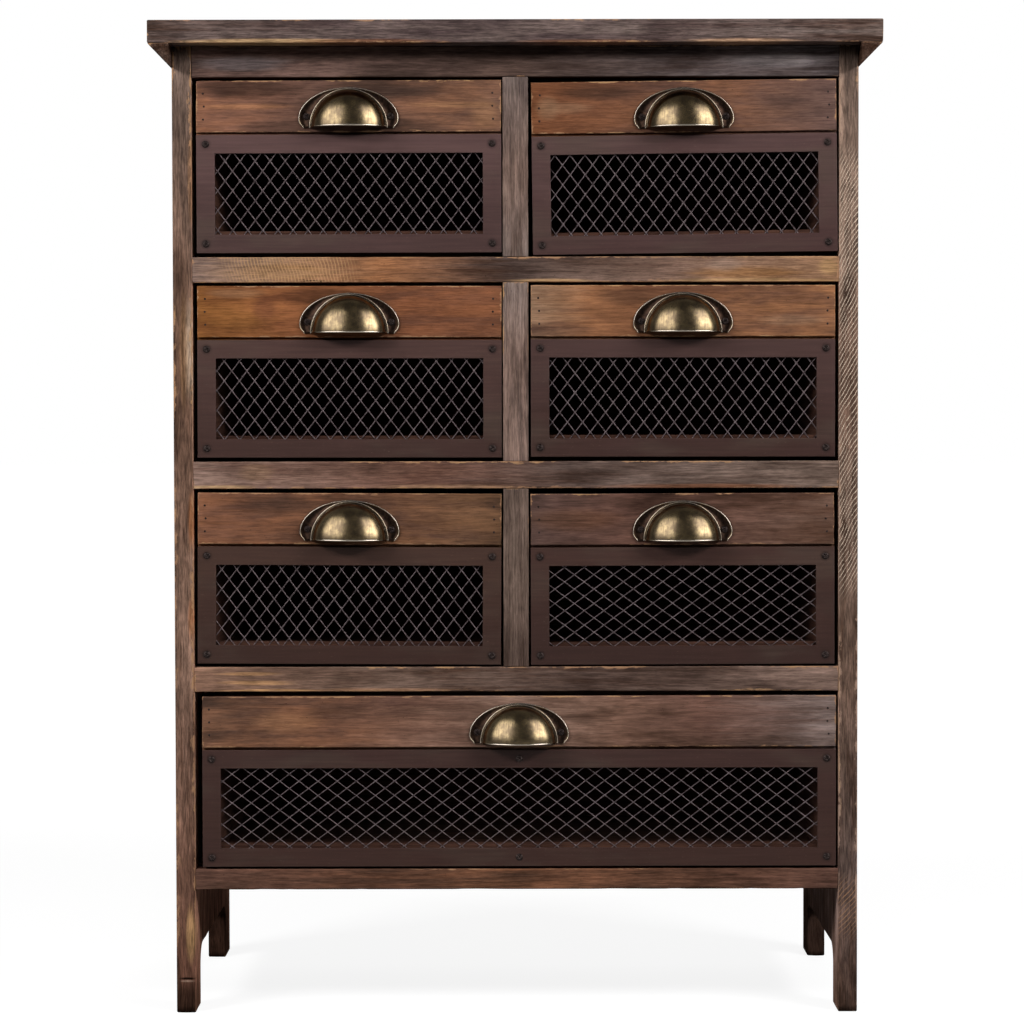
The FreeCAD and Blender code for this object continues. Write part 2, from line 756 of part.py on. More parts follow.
def make_flange_pieces(name):
    """Flat flange behind the cup: an arched top, two round wings and the web between them."""
    arch_edge = doc.addObject("Part::Ellipse", f"{name}_arch_edge")
    arch_edge.setExpression("MajorRadius", "sizes.flange_half_width")
    arch_edge.setExpression("MinorRadius", "sizes.flange_arc_height")
    arch_edge.setExpression("Placement", placement(("0", "0", "sizes.flange_arc_level"), "1; 0; 0", "90"))
    arch_disc = doc.addObject("Part::Extrusion", f"{name}_arch_disc")
    arch_disc.Base = arch_edge
    arch_disc.DirMode = "Custom"
    arch_disc.Dir = Vector(0, -1, 0)
    arch_disc.setExpression("LengthFwd", "sizes.pull_wall")
    arch_disc.Solid = True
    above = make_box(
        f"{name}_above",
        ("-sizes.flange_half_width", "-sizes.pull_wall", "sizes.flange_arc_level"),
        ("2 * sizes.flange_half_width", "sizes.pull_wall", "sizes.flange_arc_height"),
    )
    pieces = [make_common(f"{name}_arch", arch_disc, above)]
    wing_x = "(sizes.flange_half_width - sizes.flange_corner_radius)"
    for part, x in (("left", f"-{wing_x}"), ("right", wing_x)):
        start = (x, "0", "sizes.flange_arc_level")
        pieces.append(
            make_rod(f"{name}_{part}_wing", start, "-Y", "sizes.flange_corner_radius", "sizes.pull_wall")
        )
    pieces.append(
        make_box(
            f"{name}_web",
            (
                f"-{wing_x}",
                "-sizes.pull_wall",
                "sizes.flange_arc_level - sizes.flange_corner_radius",
            ),
            (f"2 * {wing_x}", "sizes.pull_wall", "sizes.flange_corner_radius"),
        )
    )
    return pieces


def make_pull(drawer, fasteners):
    """Cup pull: shell and flange in one piece, with a hole for a screw in each wing."""
    name = drawer.named("pull")
    quarter = make_box(
        f"{name}_quarter",
        ("-sizes.cup_radius", "-sizes.cup_projection", "0"),
        ("2 * sizes.cup_radius", "sizes.cup_projection", "sizes.cup_radius"),
    )
    cup = make_common(f"{name}_cup", make_ball(f"{name}_outside", "0"), quarter)
    stamping = make_fuse(f"{name}_stamping", [cup] + make_flange_pieces(name))
    # The hollow takes the flange away behind the cup too
    blank = make_cut(f"{name}_blank", stamping, make_ball(f"{name}_hollow", "sizes.pull_wall"))
    blank.setExpression("Placement", placement(("0", "0", f"({SHOULDER} + sizes.pull_height)")))
    drawer.add(make_cut(name, blank, fasteners))


def make_drawer(drawer):
    """Every piece of one drawer."""
    fasteners = make_fasteners(drawer)
    make_front_board(drawer, fasteners)
    make_drawer_box(drawer, fasteners)
    make_grille_frame(drawer, fasteners)
    make_mesh(drawer)
    make_pull(drawer, fasteners)
    drawer.add(make_group(drawer.named("fasteners"), [fasteners]))


def check_and_write():
    """Stop at any failed object or unsound shape, then write one file per sub-part."""
    doc.recompute()
    for item in doc.Objects:
        if "Invalid" in item.State or "Error" in item.State:
            raise RuntimeError(f"{item.Name} failed: {item.State}")
    for item in subparts:
        if item.Shape.isNull() or not item.Shape.isValid():
            raise RuntimeError(f"{item.Label} has no sound shape")
    os.makedirs("parts", exist_ok=True)
    for item in subparts:
        item.Shape.exportStep(f"parts/{item.Label}.step")


carcass_nails = make_nails()
make_top_panel(carcass_nails)
make_cornices()
make_side_panels(carcass_nails)
make_front_rails(carcass_nails)
make_mullions(carcass_nails)
make_back(carcass_nails)
make_runners()
add_subpart(make_group("carcass_nails", [carcass_nails]))

for row_name in SPLIT_ROWS:
    make_drawer(Drawer(f"{row_name}_left", row_name, -1))
    make_drawer(Drawer(f"{row_name}_right", row_name, 1))
make_drawer(Drawer("bottom", "bottom", 0))
check_and_write()
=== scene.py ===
import math
import random

import bmesh
import bpy
from mathutils import Matrix, Vector, noise


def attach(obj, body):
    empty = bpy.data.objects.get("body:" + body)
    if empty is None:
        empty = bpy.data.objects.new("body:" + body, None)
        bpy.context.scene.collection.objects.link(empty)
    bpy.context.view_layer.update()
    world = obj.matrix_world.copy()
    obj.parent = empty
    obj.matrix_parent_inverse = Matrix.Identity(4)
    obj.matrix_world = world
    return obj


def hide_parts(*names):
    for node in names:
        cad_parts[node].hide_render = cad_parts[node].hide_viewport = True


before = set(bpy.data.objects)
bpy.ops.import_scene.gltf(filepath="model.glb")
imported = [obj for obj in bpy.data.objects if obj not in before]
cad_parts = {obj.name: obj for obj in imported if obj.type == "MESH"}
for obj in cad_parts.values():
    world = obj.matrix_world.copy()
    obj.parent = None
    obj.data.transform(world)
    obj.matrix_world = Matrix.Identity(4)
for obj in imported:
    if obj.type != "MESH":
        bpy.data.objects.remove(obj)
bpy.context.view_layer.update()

MM = 0.001
X, Y, Z = (1, 0, 0), (0, 1, 0), (0, 0, 1)
rng = random.Random(7)

# Carcass sizes in millimetres, as in the CAD
TOP_WIDTH, TOP_DEPTH, HEIGHT = 600.0, 300.0, 818.0
TOP_THICKNESS = 19.0
UNDERSIDE = HEIGHT - TOP_THICKNESS
SIDE_OVERHANG = 17.5
BODY_HALF = TOP_WIDTH / 2 - SIDE_OVERHANG
SIDE_THICKNESS = 16.0
INNER_HALF = BODY_HALF - SIDE_THICKNESS
FRONT_Y, BACK_Y = -130.0, 150.0
BACK_THICKNESS = 6.0
RAIL_DEPTH = 20.0
RAILS = {
    "bottom": (102.5, 119.5),
    "lower": (267.0, 287.5),
    "middle": (435.0, 457.5),
    "upper": (605.0, 626.0),
    "top": (773.5, 799.0),
}
ROWS = {"bottom": "lower", "lower": "middle", "middle": "upper", "upper": "top"}
MULLION_HALF = 10.5
OPENING_CENTRE = (MULLION_HALF + INNER_HALF) / 2
# The side panels are cut away between their legs
CUT_FRONT, CUT_BACK, CUT_TOP, CUT_RADIUS = -94.0, 114.0, 49.0, 16.0
NAIL_RADIUS = 1.1
# The wood around flush nail heads lies this far below them
NAIL_SINK = 0.03

# Drawer sizes in millimetres, in the drawer's own frame
FRONT_HEIGHT = 141.5
SHOULDER = 99.0
BOARD_THICKNESS = 15.0
TONGUE_HEIGHT, TONGUE_THICKNESS = 16.0, 12.0
FRAME_HEIGHT = 97.0
FRAME_MEMBER = 15.2
FRAME_THICKNESS = 2.0
FRAME_BEVEL = 0.35
MESH_Y = 2.5
MESH_LAP = 4.5
STRAND_WIDTH, STRAND_THICKNESS = 0.8, 0.4
# Share of a strand's length under which the cut sheet leaves it out
SHORTEST_STRAND = 0.05
STRAND_TWIST = math.radians(46.0)
PULL_BASE = 102.5
CUP_RADIUS = 31.7
CUP_PROJECTION = 19.5
# Share of the cup's radius at which its dome starts to flare into the foot
FLARE = 0.955
WALL = 1.2
FLANGE_HALF = 41.3
ARC_LEVEL = 6.8
ARC_HEIGHT = 26.5
CORNER_RADIUS = 6.2
LIP_RADIUS = 0.7
SCREW_X = 34.5
SCREW_LEVEL = 9.2
HEAD_RADIUS = 2.9
BRAD_RADIUS, BRAD_INSET, BRAD_WANDER = 0.9, 6.5, 0.8

# Each drawer: row, side, width, shift, lift at the left and right end, mesh pitches and phase
DRAWERS = {
    "upper_left": ("upper", -1, 251.0, 1.5, 3.3, 3.6, 12.4, 16.2, -2.9, 2.8),
    "upper_right": ("upper", 1, 251.0, 1.5, 1.3, 4.2, 12.4, 16.2, -1.1, 0.8),
    "middle_left": ("middle", -1, 251.0, 1.3, 3.4, 3.1, 12.5, 16.25, 2.7, -1.4),
    "middle_right": ("middle", 1, 251.0, -0.6, 3.6, 3.4, 12.6, 16.2, -0.8, -3.8),
    "lower_left": ("lower", -1, 251.0, 0.3, 3.1, 1.6, 12.4, 16.2, -0.4, -3.0),
    "lower_right": ("lower", 1, 251.0, -0.7, 1.4, 2.0, 16.25, 11.95, -0.1, 2.0),
    "bottom": ("bottom", 0, 525.0, 2.2, 2.0, 2.2, 15.85, 12.05, -0.4, -1.8),
}

# Stain colours, chosen from the photograph
PALETTE = {
    "black": "120c0a", "umber": "35241c", "coffee": "4e372b", "grey": "64524a", "ash": "7d695e",
    "fawn": "8f7161", "sand": "b09280", "brown": "6e4c3e", "rust": "85553a", "amber": "a06a46",
    "tan": "a67e60", "straw": "bd9468", "plum": "54423e", "cream": "cdb7a2", "honey": "9c6c3e",
    "russet": "6f4537",
}

# Tints of the thin glaze over the woods, as factors of red, green and blue
TINTS = {
    "warm": (1.08, 0.98, 0.9),
    "even": (1.0, 1.0, 1.0),
    "cool": (0.92, 1.0, 1.1),
    "cold": (0.8, 1.0, 1.25),
}

# Reach of a patch in depth, in millimetres: under an edge face, and through a whole board
PATCH_DEPTH, THROUGH = 30.0, 1000.0
# How far saw marks fade in and out along the board, and away from their face
SAW_FADE = 25.0
SAW_NEAR, SAW_FAR = 0.8, 3.5
# Depth in millimetres under the face painted lighter, over which that painted light fades out
PAINTED_LIGHT_DEPTH = 0.8
# A board's grain is shifted by this much, in millimetres, times its seed
SEED_STEP = (531.7, 97.3, 41.9)
# Inset halfway round a worn arris, as a share of its radius
ROUND = 0.29


def linear(name):
    """Scene-linear colour of a palette name or a hex string."""
    text = PALETTE.get(name, name)
    channels = [int(text[i : i + 2], 16) / 255 for i in (0, 2, 4)]
    return [c / 12.92 if c <= 0.04045 else ((c + 0.055) / 1.055) ** 2.4 for c in channels] + [1.0]


class Tree:
    """Short calls for building a node tree. A value is a socket, a constant or a colour's name."""

    def __init__(self, tree):
        self.tree = tree

    def feed(self, socket, value):
        if isinstance(value, bpy.types.NodeSocket):
            self.tree.links.new(value, socket)
        elif value is not None:
            socket.default_value = linear(value) if isinstance(value, str) else value

    def node(self, kind, *values, **settings):
        """A new node with these settings and with values in its first inputs."""
        made = self.tree.nodes.new(kind)
        for key, setting in settings.items():
            setattr(made, key, setting)
        for socket, value in zip(made.inputs, values):
            self.feed(socket, value)
        return made

    def math(self, operation, a, b=None, c=None):
        return self.node("ShaderNodeMath", a, b, c, operation=operation).outputs[0]

    def plus(self, a, b):
        return self.math("ADD", a, b)

    def minus(self, a, b):
        return self.math("SUBTRACT", a, b)

    def times(self, a, b):
        return self.math("MULTIPLY", a, b)

    def length(self, a, b):
        return self.math("SQRT", self.plus(self.times(a, a), self.times(b, b)))

    def vmath(self, operation, a, b=None, scale=None):
        made = self.node("ShaderNodeVectorMath", a, b, None, scale, operation=operation)
        return made.outputs["Value" if operation == "LENGTH" else "Vector"]

    def split(self, vector):
        return self.node("ShaderNodeSeparateXYZ", vector).outputs

    def span(self, value, low, high, to_low=0.0, to_high=1.0, kind="SMOOTHSTEP"):
        """Values from low to high become to_low to to_high."""
        limits = (low, high, to_low, to_high)
        return self.node("ShaderNodeMapRange", value, *limits, interpolation_type=kind).outputs[0]

    def noise(self, vector, scale=1.0, detail=2.0, roughness=0.5, distortion=0.0):
        made = self.node("ShaderNodeTexNoise", vector)
        shape = {"Scale": scale, "Detail": detail, "Roughness": roughness, "Distortion": distortion}
        for name, value in shape.items():
            self.feed(made.inputs[name], value)
        return made.outputs["Fac"]

    def stretched(self, place, scales, *shape):
        """Noise with a scale of its own in each direction."""
        return self.noise(self.vmath("MULTIPLY", place, scales), 1.0, *shape)

    def mix(self, factor, a, b, blend="MIX"):
        made = self.node("ShaderNodeMix", data_type="RGBA", blend_type=blend)
        for name, value in (("Factor", factor), ("A", a), ("B", b)):
            self.feed(made.inputs[name], value)
        return made.outputs["Result"]

    def shaded(self, colour, shade):
        grey = self.node("ShaderNodeCombineColor", shade, shade, shade).outputs[0]
        return self.mix(1.0, colour, grey, "MULTIPLY")

    def ramp(self, factor, colours):
        """Ramp from its first colour at 0 to its last at 1, with (position, colour) between."""
        made = self.node("ShaderNodeValToRGB", factor)
        stops = [(0.0, colours[0]), *colours[1:-1], (1.0, colours[-1])]
        elements = made.color_ramp.elements
        while len(elements) < len(stops):
            elements.new(0.5)
        for element, (position, colour) in zip(elements, stops):
            element.position = position
            element.color = linear(colour)
        return made.outputs["Color"]

    def attribute(self, name, output="Vector"):
        return self.node("ShaderNodeAttribute", attribute_name=name).outputs[output]

    def coordinates(self, kind="Object"):
        return self.node("ShaderNodeTexCoord").outputs[kind]

    def surface(self, shader, colour, roughness, height, strength, distance):
        """Feed a shader its colour, its roughness and a relief, distance in millimetres."""
        made = self.node("ShaderNodeBump")
        relief = {"Strength": strength, "Distance": distance * MM, "Height": height}
        for name, value in relief.items():
            self.feed(made.inputs[name], value)
        ends = {"Base Color": colour, "Roughness": roughness, "Normal": made.outputs[0]}
        for name, value in ends.items():
            self.feed(shader.inputs[name], value)


def group_tree(name, vectors, floats, results):
    """A new node group with named sockets; returns its Tree and its ends."""
    group = bpy.data.node_groups.new(name, "ShaderNodeTree")
    for in_out, kind, names in (
        ("INPUT", "Vector", vectors), ("INPUT", "Float", floats), ("OUTPUT", "Float", results),
    ):
        for socket_name in names.split():
            group.interface.new_socket(socket_name, in_out=in_out, socket_type=f"NodeSocket{kind}")
    tree = Tree(group)
    return tree, tree.node("NodeGroupInput").outputs, tree.node("NodeGroupOutput").inputs


def make_grain_group():
    """Masks of sawn softwood. Place is millimetres along the grain, across and through."""
    results = "Streak Ring Fibre Blotch Arris Rough Speck Stretch Pore"
    tree, given, out = group_tree("grain", "Place Half", "Rings Heart", results)
    place = given["Place"]
    wander = tree.times(tree.minus(tree.stretched(place, (0.005, 0.012, 0.012), 2), 0.5), 7)
    sway = tree.node("ShaderNodeCombineXYZ", None, wander)
    flow = tree.vmath("ADD", place, sway.outputs[0])
    _, flow_y, flow_z = tree.split(flow)
    across = tree.plus(flow_y, tree.times(wander, 1.2))
    radius = tree.length(across, tree.plus(flow_z, given["Heart"]))
    turn = tree.math("FRACT", tree.times(radius, given["Rings"]))
    late = tree.times(tree.span(turn, 0.2, 0.86), tree.minus(1, tree.span(turn, 0.88, 1)))
    long_streak = tree.stretched(flow, (0.0065, 0.20, 0.20), 4, 0.62)
    short_streak = tree.stretched(flow, (0.022, 0.75, 0.75), 3, 0.6)
    streak = tree.plus(tree.times(long_streak, 0.62), tree.times(short_streak, 0.38))
    late = tree.times(late, tree.span(short_streak, 0.35, 0.65, 0.25, 1))
    fibre = tree.stretched(flow, (0.075, 0.95, 0.95), 3, 0.7)
    pore = tree.stretched(flow, (0.05, 0.75, 0.75), 3, 0.7, 0.2)
    blotch = tree.stretched(flow, (0.013, 0.06, 0.06), 4, 0.62, 0.3)
    rough = tree.stretched(place, (0.08, 0.22, 0.22), 4, 0.7)
    stretch = tree.stretched(place, (0.011, 0.03, 0.03), 2, 0.5)
    speck = tree.stretched(place, (0.42, 0.85, 0.85), 2, 0.5)
    # Distance from the nearest arris: the second smallest distance from a face
    inside = tree.vmath("ABSOLUTE", tree.attribute("local"))
    x, y, z = tree.split(tree.vmath("SUBTRACT", given["Half"], inside))
    larger = tree.math("MINIMUM", tree.math("MAXIMUM", x, y), z)
    arris = tree.math("MAXIMUM", tree.math("MINIMUM", x, y), larger)
    masks = (streak, late, fibre, blotch, arris, rough, speck, stretch, pore)
    for socket, mask in zip(out, masks):
        tree.feed(socket, mask)
    return tree.tree


def make_patch_group():
    """Mask of a soft stretch of a board, with streaky edges. Local is in millimetres."""
    tree, given, out = group_tree("patch", "Centre Reach", "Streak Bite", "Mask")
    away = tree.vmath("SUBTRACT", tree.attribute("local"), given["Centre"])
    distance = tree.vmath("LENGTH", tree.vmath("DIVIDE", away, given["Reach"]))
    ragged = tree.times(tree.minus(given["Streak"], 0.5), given["Bite"])
    tree.feed(out["Mask"], tree.span(tree.plus(distance, ragged), 0.45, 1.25, 1, 0))
    return tree.tree


GRAIN = make_grain_group()
PATCH = make_patch_group()


def new_material(name, roughness=0.6, metallic=0.0, specular=0.5):
    material = bpy.data.materials.new(name)
    material.use_nodes = True
    shader = material.node_tree.nodes["Principled BSDF"]
    shader.inputs["Roughness"].default_value = roughness
    shader.inputs["Metallic"].default_value = metallic
    shader.inputs["Specular IOR Level"].default_value = specular
    return material, Tree(material.node_tree), shader


def add_patches(tree, colour, streak, patches, edge):
    """Mix patches into a colour, on the broad faces or on the face at a distance of edge."""
    for tone, at, across, reach, reach_across, strength, bite, *other_face in patches:
        if edge is None:
            centre, size = (at, across, 0.0), (reach, reach_across, THROUGH)
        else:
            centre = (at, other_face[0] if other_face else edge, across)
            size = (reach, PATCH_DEPTH, reach_across)
        patch = tree.node("ShaderNodeGroup", centre, size, streak, bite, node_tree=PATCH)
        colour = tree.mix(tree.times(patch.outputs["Mask"], strength), colour, tone)
    return colour


def saw_stroke(tree, local, rough, stretch, saw, edge):
    """Mask of one set of slanted saw marks."""
    slope, pitch, _, low, high, thin, _ = saw
    x, y, z = local
    across = y if edge is None else z
    slant = tree.plus(tree.times(x, 1 / pitch), tree.times(across, -slope / pitch))
    uneven = tree.math("MULTIPLY_ADD", stretch, 4, tree.times(rough, 0.12 * pitch))
    wave = tree.math("SINE", tree.times(tree.plus(slant, uneven), math.tau))
    start, end = tree.span(x, low, low + SAW_FADE), tree.span(x, high - SAW_FADE, high, 1, 0)
    stroke = tree.times(tree.span(wave, thin, 1), tree.times(start, end))
    if edge is not None:
        beside = tree.math("ABSOLUTE", tree.minus(y, edge))
        stroke = tree.times(stroke, tree.span(beside, SAW_NEAR, SAW_FAR, 1, 0))
    return tree.times(stroke, tree.span(rough, 0.30, 0.52))


def glaze_tone(tree, along, glaze):
    """Colour of the thin glaze over a board, evenly spaced coats mixed along it."""
    coats = [(*(lightness * part for part in TINTS[tint]), 1.0) for lightness, tint in glaze]
    tone = coats[0]
    for index, coat in enumerate(coats[1:], 1):
        start, end = (index - 1) / (len(coats) - 1), index / (len(coats) - 1)
        tone = tree.mix(tree.span(along, start, end, kind="LINEAR"), tone, coat)
    return tone


def wood_material(
    name, dark, light, half_length, worn="tan", wear=0.5, wear_width=1.5, rings=0.28, heart=14.0,
    light_amount=0.5, patches=(), saws=(), contrast=1.0, edge=None, glaze=((1.0, "even"),),
    soft=0.10, rim=0.3, mottle=0.4, fibres=1.0, painted_light_face=None,
):
    """Stained, worn softwood.

    dark and light are ramps of palette names along the board. A glaze is (lightness, tint), one
    or more of them evenly spaced along it. A patch is (colour, along, across, reach along,
    reach across, strength, bite), and a saw is (slope, pitch, strength, low end, high end,
    thinness, colour) of slanted saw marks. With edge, the distance of an edge face from the
    board's middle, patches and saw marks lie on that face and across is measured through the
    board; a patch may then end with the distance of another face. painted_light_face is (side,
    thickness, lightness) of a broad face painted lighter, as painted light standing in for the
    light that falls on it, side being -1 or 1.
    """
    material, tree, shader = new_material(name, specular=0.0)
    place = tree.attribute("place")
    half = tree.attribute("half")
    grain = tree.node("ShaderNodeGroup", place, half, rings, heart, node_tree=GRAIN)
    streak, ring, fibre, blotch, arris, rough, speck, stretch, pore = grain.outputs
    local = tree.split(tree.attribute("local"))

    # Stain: two tones along the board, patches and glaze; then painted light on one broad face
    wandering = tree.times(tree.minus(streak, 0.5), 0.5 * half_length)
    along = tree.plus(local["X"], wandering)
    along = tree.span(along, -half_length, half_length, kind="LINEAR")
    figure = tree.plus(tree.times(streak, 1 - mottle), tree.times(blotch, mottle))
    middle = 0.62 - 0.26 * light_amount
    lit = tree.span(figure, middle - soft, middle + soft)
    colour = tree.mix(lit, tree.ramp(along, dark), tree.ramp(along, light))
    colour = add_patches(tree, colour, streak, patches, edge)
    colour = tree.mix(1, colour, glaze_tone(tree, along, glaze), "MULTIPLY")
    # Painted light: one broad face, the inner face of a side panel, is made lighter towards its
    # surface, standing in for the light that falls on it
    if painted_light_face:
        side, thickness, lightness = painted_light_face
        face = thickness / 2
        depth = tree.times(local["Z"], side)
        painted_light = tree.span(depth, face - PAINTED_LIGHT_DEPTH, face, 1, lightness, kind="LINEAR")
        colour = tree.vmath("SCALE", colour, scale=painted_light)

    # Grain: each mask from low to high scales the colour from one factor to another
    cloud = tree.stretched(place, (0.028, 0.055, 0.055), 5, 0.6)
    shade = 1.0
    for mask, low, high, at_low, at_high in (
        (blotch, 0.3, 0.72, 1 - 0.3 * contrast, 1 + 0.16 * contrast),
        (fibre, 0.34, 0.66, 1 - 0.4 * fibres, 1 + 0.36 * fibres),
        (pore, 0.34, 0.42, 1 - 0.36 * contrast, 1), (pore, 0.58, 0.70, 1, 1 + 0.4 * contrast),
        (cloud, 0.28, 0.72, 1 - 0.28 * contrast, 1 + 0.22 * contrast),
        (ring, 0, 1, 1.05, 1 - 0.24 * fibres), (speck, 0.22, 0.30, 0.5, 1.0),
    ):
        shade = tree.times(shade, tree.span(mask, low, high, at_low, at_high))
    colour = tree.shaded(colour, shade)

    # Saw marks
    height = tree.plus(tree.times(fibre, 0.5), tree.times(streak, 0.6))
    for saw in saws:
        stroke = saw_stroke(tree, local, rough, stretch, saw, edge)
        height = tree.plus(height, tree.times(stroke, 0.8))
        colour = tree.mix(tree.times(stroke, saw[2]), colour, saw[-1])

    # Wear along the arrises
    patchy = tree.span(stretch, 0.66 - 0.36 * wear, 0.80 - 0.36 * wear)
    reach = tree.times(tree.span(rough, 0.38, 0.72), wear_width * 1.8)
    reach = tree.times(reach, tree.plus(tree.times(patchy, 0.8), 0.2))
    rubbed = tree.minus(1, tree.math("DIVIDE", arris, tree.plus(reach, 0.05)))
    rubbed = tree.times(tree.span(rubbed, 0, 0.75), tree.span(patchy, 0, 1, rim, 0.85))
    colour = tree.mix(rubbed, colour, tree.mix(tree.span(streak, 0.46, 0.66), worn, "straw"))

    roughness = tree.span(streak, 0.3, 0.7, 0.72, 0.5)
    height = tree.minus(height, tree.times(ring, 0.15))
    tree.surface(shader, colour, roughness, height, 0.55, 0.4)
    return material


def smooth_noise(x, y, z):
    return noise.noise(Vector((x, y, z)))


def smooth(bm):
    for face in bm.faces:
        face.smooth = True


def inward_normals(outline):
    """For each corner of a counterclockwise outline, the way in that insets both its edges."""
    inward = []
    for i, here in enumerate(outline):
        before, after = outline[i - 1], outline[(i + 1) % len(outline)]
        edge_a = Vector((here[0] - before[0], here[1] - before[1])).normalized()
        edge_b = Vector((after[0] - here[0], after[1] - here[1])).normalized()
        normal = Vector((-edge_a.y - edge_b.y, edge_a.x + edge_b.x)).normalized()
        cosine = max(0.35, normal.dot(Vector((-edge_a.y, edge_a.x))))
        inward.append(normal / cosine)
    return inward


def plate(bm, outline, thickness, turn, seed, bevel=0.9, dents=0.6, half=None):
    """Add one board to bm: outline in its plane, thickness through it, with worn arrises.

    Everything is in millimetres. turn is the matrix from the board's own axes, grain along X,
    width along Y and face towards +Z, to the piece's frame. half is half the size of the whole
    board, if this is a part of one.
    """
    layers = bm.verts.layers.float_vector
    count = len(outline)
    pairs = zip(outline, outline[1:] + outline[:1])
    if sum(a[0] * b[1] - b[0] * a[1] for a, b in pairs) < 0:
        outline = outline[::-1]
    inward = inward_normals(outline)
    top = thickness / 2
    bevel = min(bevel, thickness / 4)
    levels = (
        (top, bevel), (top - ROUND * bevel, ROUND * bevel), (top - bevel, 0.0), (0.0, 0.0),
        (bevel - top, 0.0), (ROUND * bevel - top, ROUND * bevel), (-top, bevel),
    )
    xs, ys = zip(*outline)
    half = half or ((max(xs) - min(xs)) / 2, (max(ys) - min(ys)) / 2, top)
    rings = []
    for level, inset in levels:
        ring = []
        for (x, y), normal in zip(outline, inward):
            dent = 0.0
            if abs(level) > top - 1.5 * bevel:
                side = 5.0 if level > 0 else -5.0
                wide = smooth_noise(x * 0.045 + seed, y * 0.045, side)
                fine = smooth_noise(x * 0.22, y * 0.22 + seed, side)
                dent = dents * max(0.0, wide + 0.4 * fine - 0.12) * 1.6
            sink = dent * (0.35 if inset > 0 else 0.8)
            point = Vector((x, y, 0)) + Vector((normal.x, normal.y, 0)) * (inset + sink)
            point.z = level - math.copysign(min(dent * 0.5, bevel), level) * (inset < bevel)
            vert = bm.verts.new(turn @ point)
            vert[layers["local"]] = point
            vert[layers["place"]] = [part + step * seed for part, step in zip(point, SEED_STEP)]
            vert[layers["half"]] = half
            ring.append(vert)
        rings.append(ring)
    for upper, lower in zip(rings, rings[1:]):
        for i in range(count):
            j = (i + 1) % count
            bm.faces.new((upper[j], upper[i], lower[i], lower[j]))
    bm.faces.new(rings[0])
    bm.faces.new(rings[-1][::-1])
    smooth(bm)


def new_bmesh():
    bm = bmesh.new()
    for layer in ("local", "place", "half"):
        bm.verts.layers.float_vector.new(layer)
    return bm


def finish_piece(name, bm, material, body, slot, replaces, matrix=None, weighted=True):
    """Turn bm, in millimetres, into a piece that rides on a body."""
    bmesh.ops.recalc_face_normals(bm, faces=bm.faces)
    bmesh.ops.scale(bm, vec=(MM, MM, MM), verts=bm.verts)
    mesh = bpy.data.meshes.new(name)
    bm.to_mesh(mesh)
    bm.free()
    mesh.materials.append(material)
    piece = bpy.data.objects.new(name, mesh)
    bpy.context.scene.collection.objects.link(piece)
    if matrix is not None:
        piece.matrix_world = matrix
    if weighted:
        modifier = piece.modifiers.new("weighted", "WEIGHTED_NORMAL")
        modifier.keep_sharp = True
    bpy.context.view_layer.update()
    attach(piece, body)
    if replaces:
        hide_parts(*replaces)
    return piece


def carcass_piece(name, bm, material, node, slot="carcass_wood", **options):
    finish_piece(name, bm, material, "carcass", slot, [node], **options)


def divided(points, step=6.0):
    """Closed outline with extra points so that no run is longer than step."""
    result = []
    for start, end in zip(points, points[1:] + points[:1]):
        pieces = max(1, round(math.dist(start, end) / step))
        for i in range(pieces):
            t = i / pieces
            result.append((start[0] + (end[0] - start[0]) * t, start[1] + (end[1] - start[1]) * t))
    return result


def rectangle(length, width):
    x, y = length / 2, width / 2
    return divided([(-x, -y), (x, -y), (x, y), (-x, y)])


def axes(along, across, centre):
    """Matrix that lays a board's grain along one direction and its width along another."""
    a, b = Vector(along), Vector(across)
    matrix = Matrix((a, b, a.cross(b))).transposed().to_4x4()
    matrix.translation = Vector(centre)
    return matrix


def carcass_board(name, low, high, along, across, material, node, seed, slot=None, **options):
    """One box board between two corners in millimetres."""
    size = [h - l for l, h in zip(low, high)]
    centre = [(l + h) / 2 for l, h in zip(low, high)]
    length = sum(abs(a) * s for a, s in zip(along, size))
    width = sum(abs(a) * s for a, s in zip(across, size))
    bm = new_bmesh()
    turn = axes(along, across, centre)
    plate(bm, rectangle(length, width), sum(size) - length - width, turn, seed, **options)
    carcass_piece(name, bm, material, node, slot or "carcass_wood")


# Woods of the carcass. Along the board, 0 is its left or lower end.
top_wood = wood_material(
    "top_wood", ("coffee", (0.25, "plum"), (0.6, "plum"), "coffee"),
    ("grey", (0.35, "grey"), (0.75, "grey"), "ash"), 300, wear=0.5, wear_width=2, heart=30,
    light_amount=0.5, contrast=0.8, glaze=((1.05, "cool"),), edge=-150,
    patches=(
        ("straw", -203, -8.4, 75, 2.4, 0.85, 1), ("rust", -120, -8.6, 60, 2.2, 0.7, 1),
        ("tan", 182, -8.6, 45, 2.2, 0.85, 1), ("rust", 60, -8.8, 60, 1.8, 0.6, 1),
        ("umber", -285, 0, 18, 9, 0.4, 1.4), ("ash", 90, 2, 22, 6, 0.4, 1.4),
    ),
)

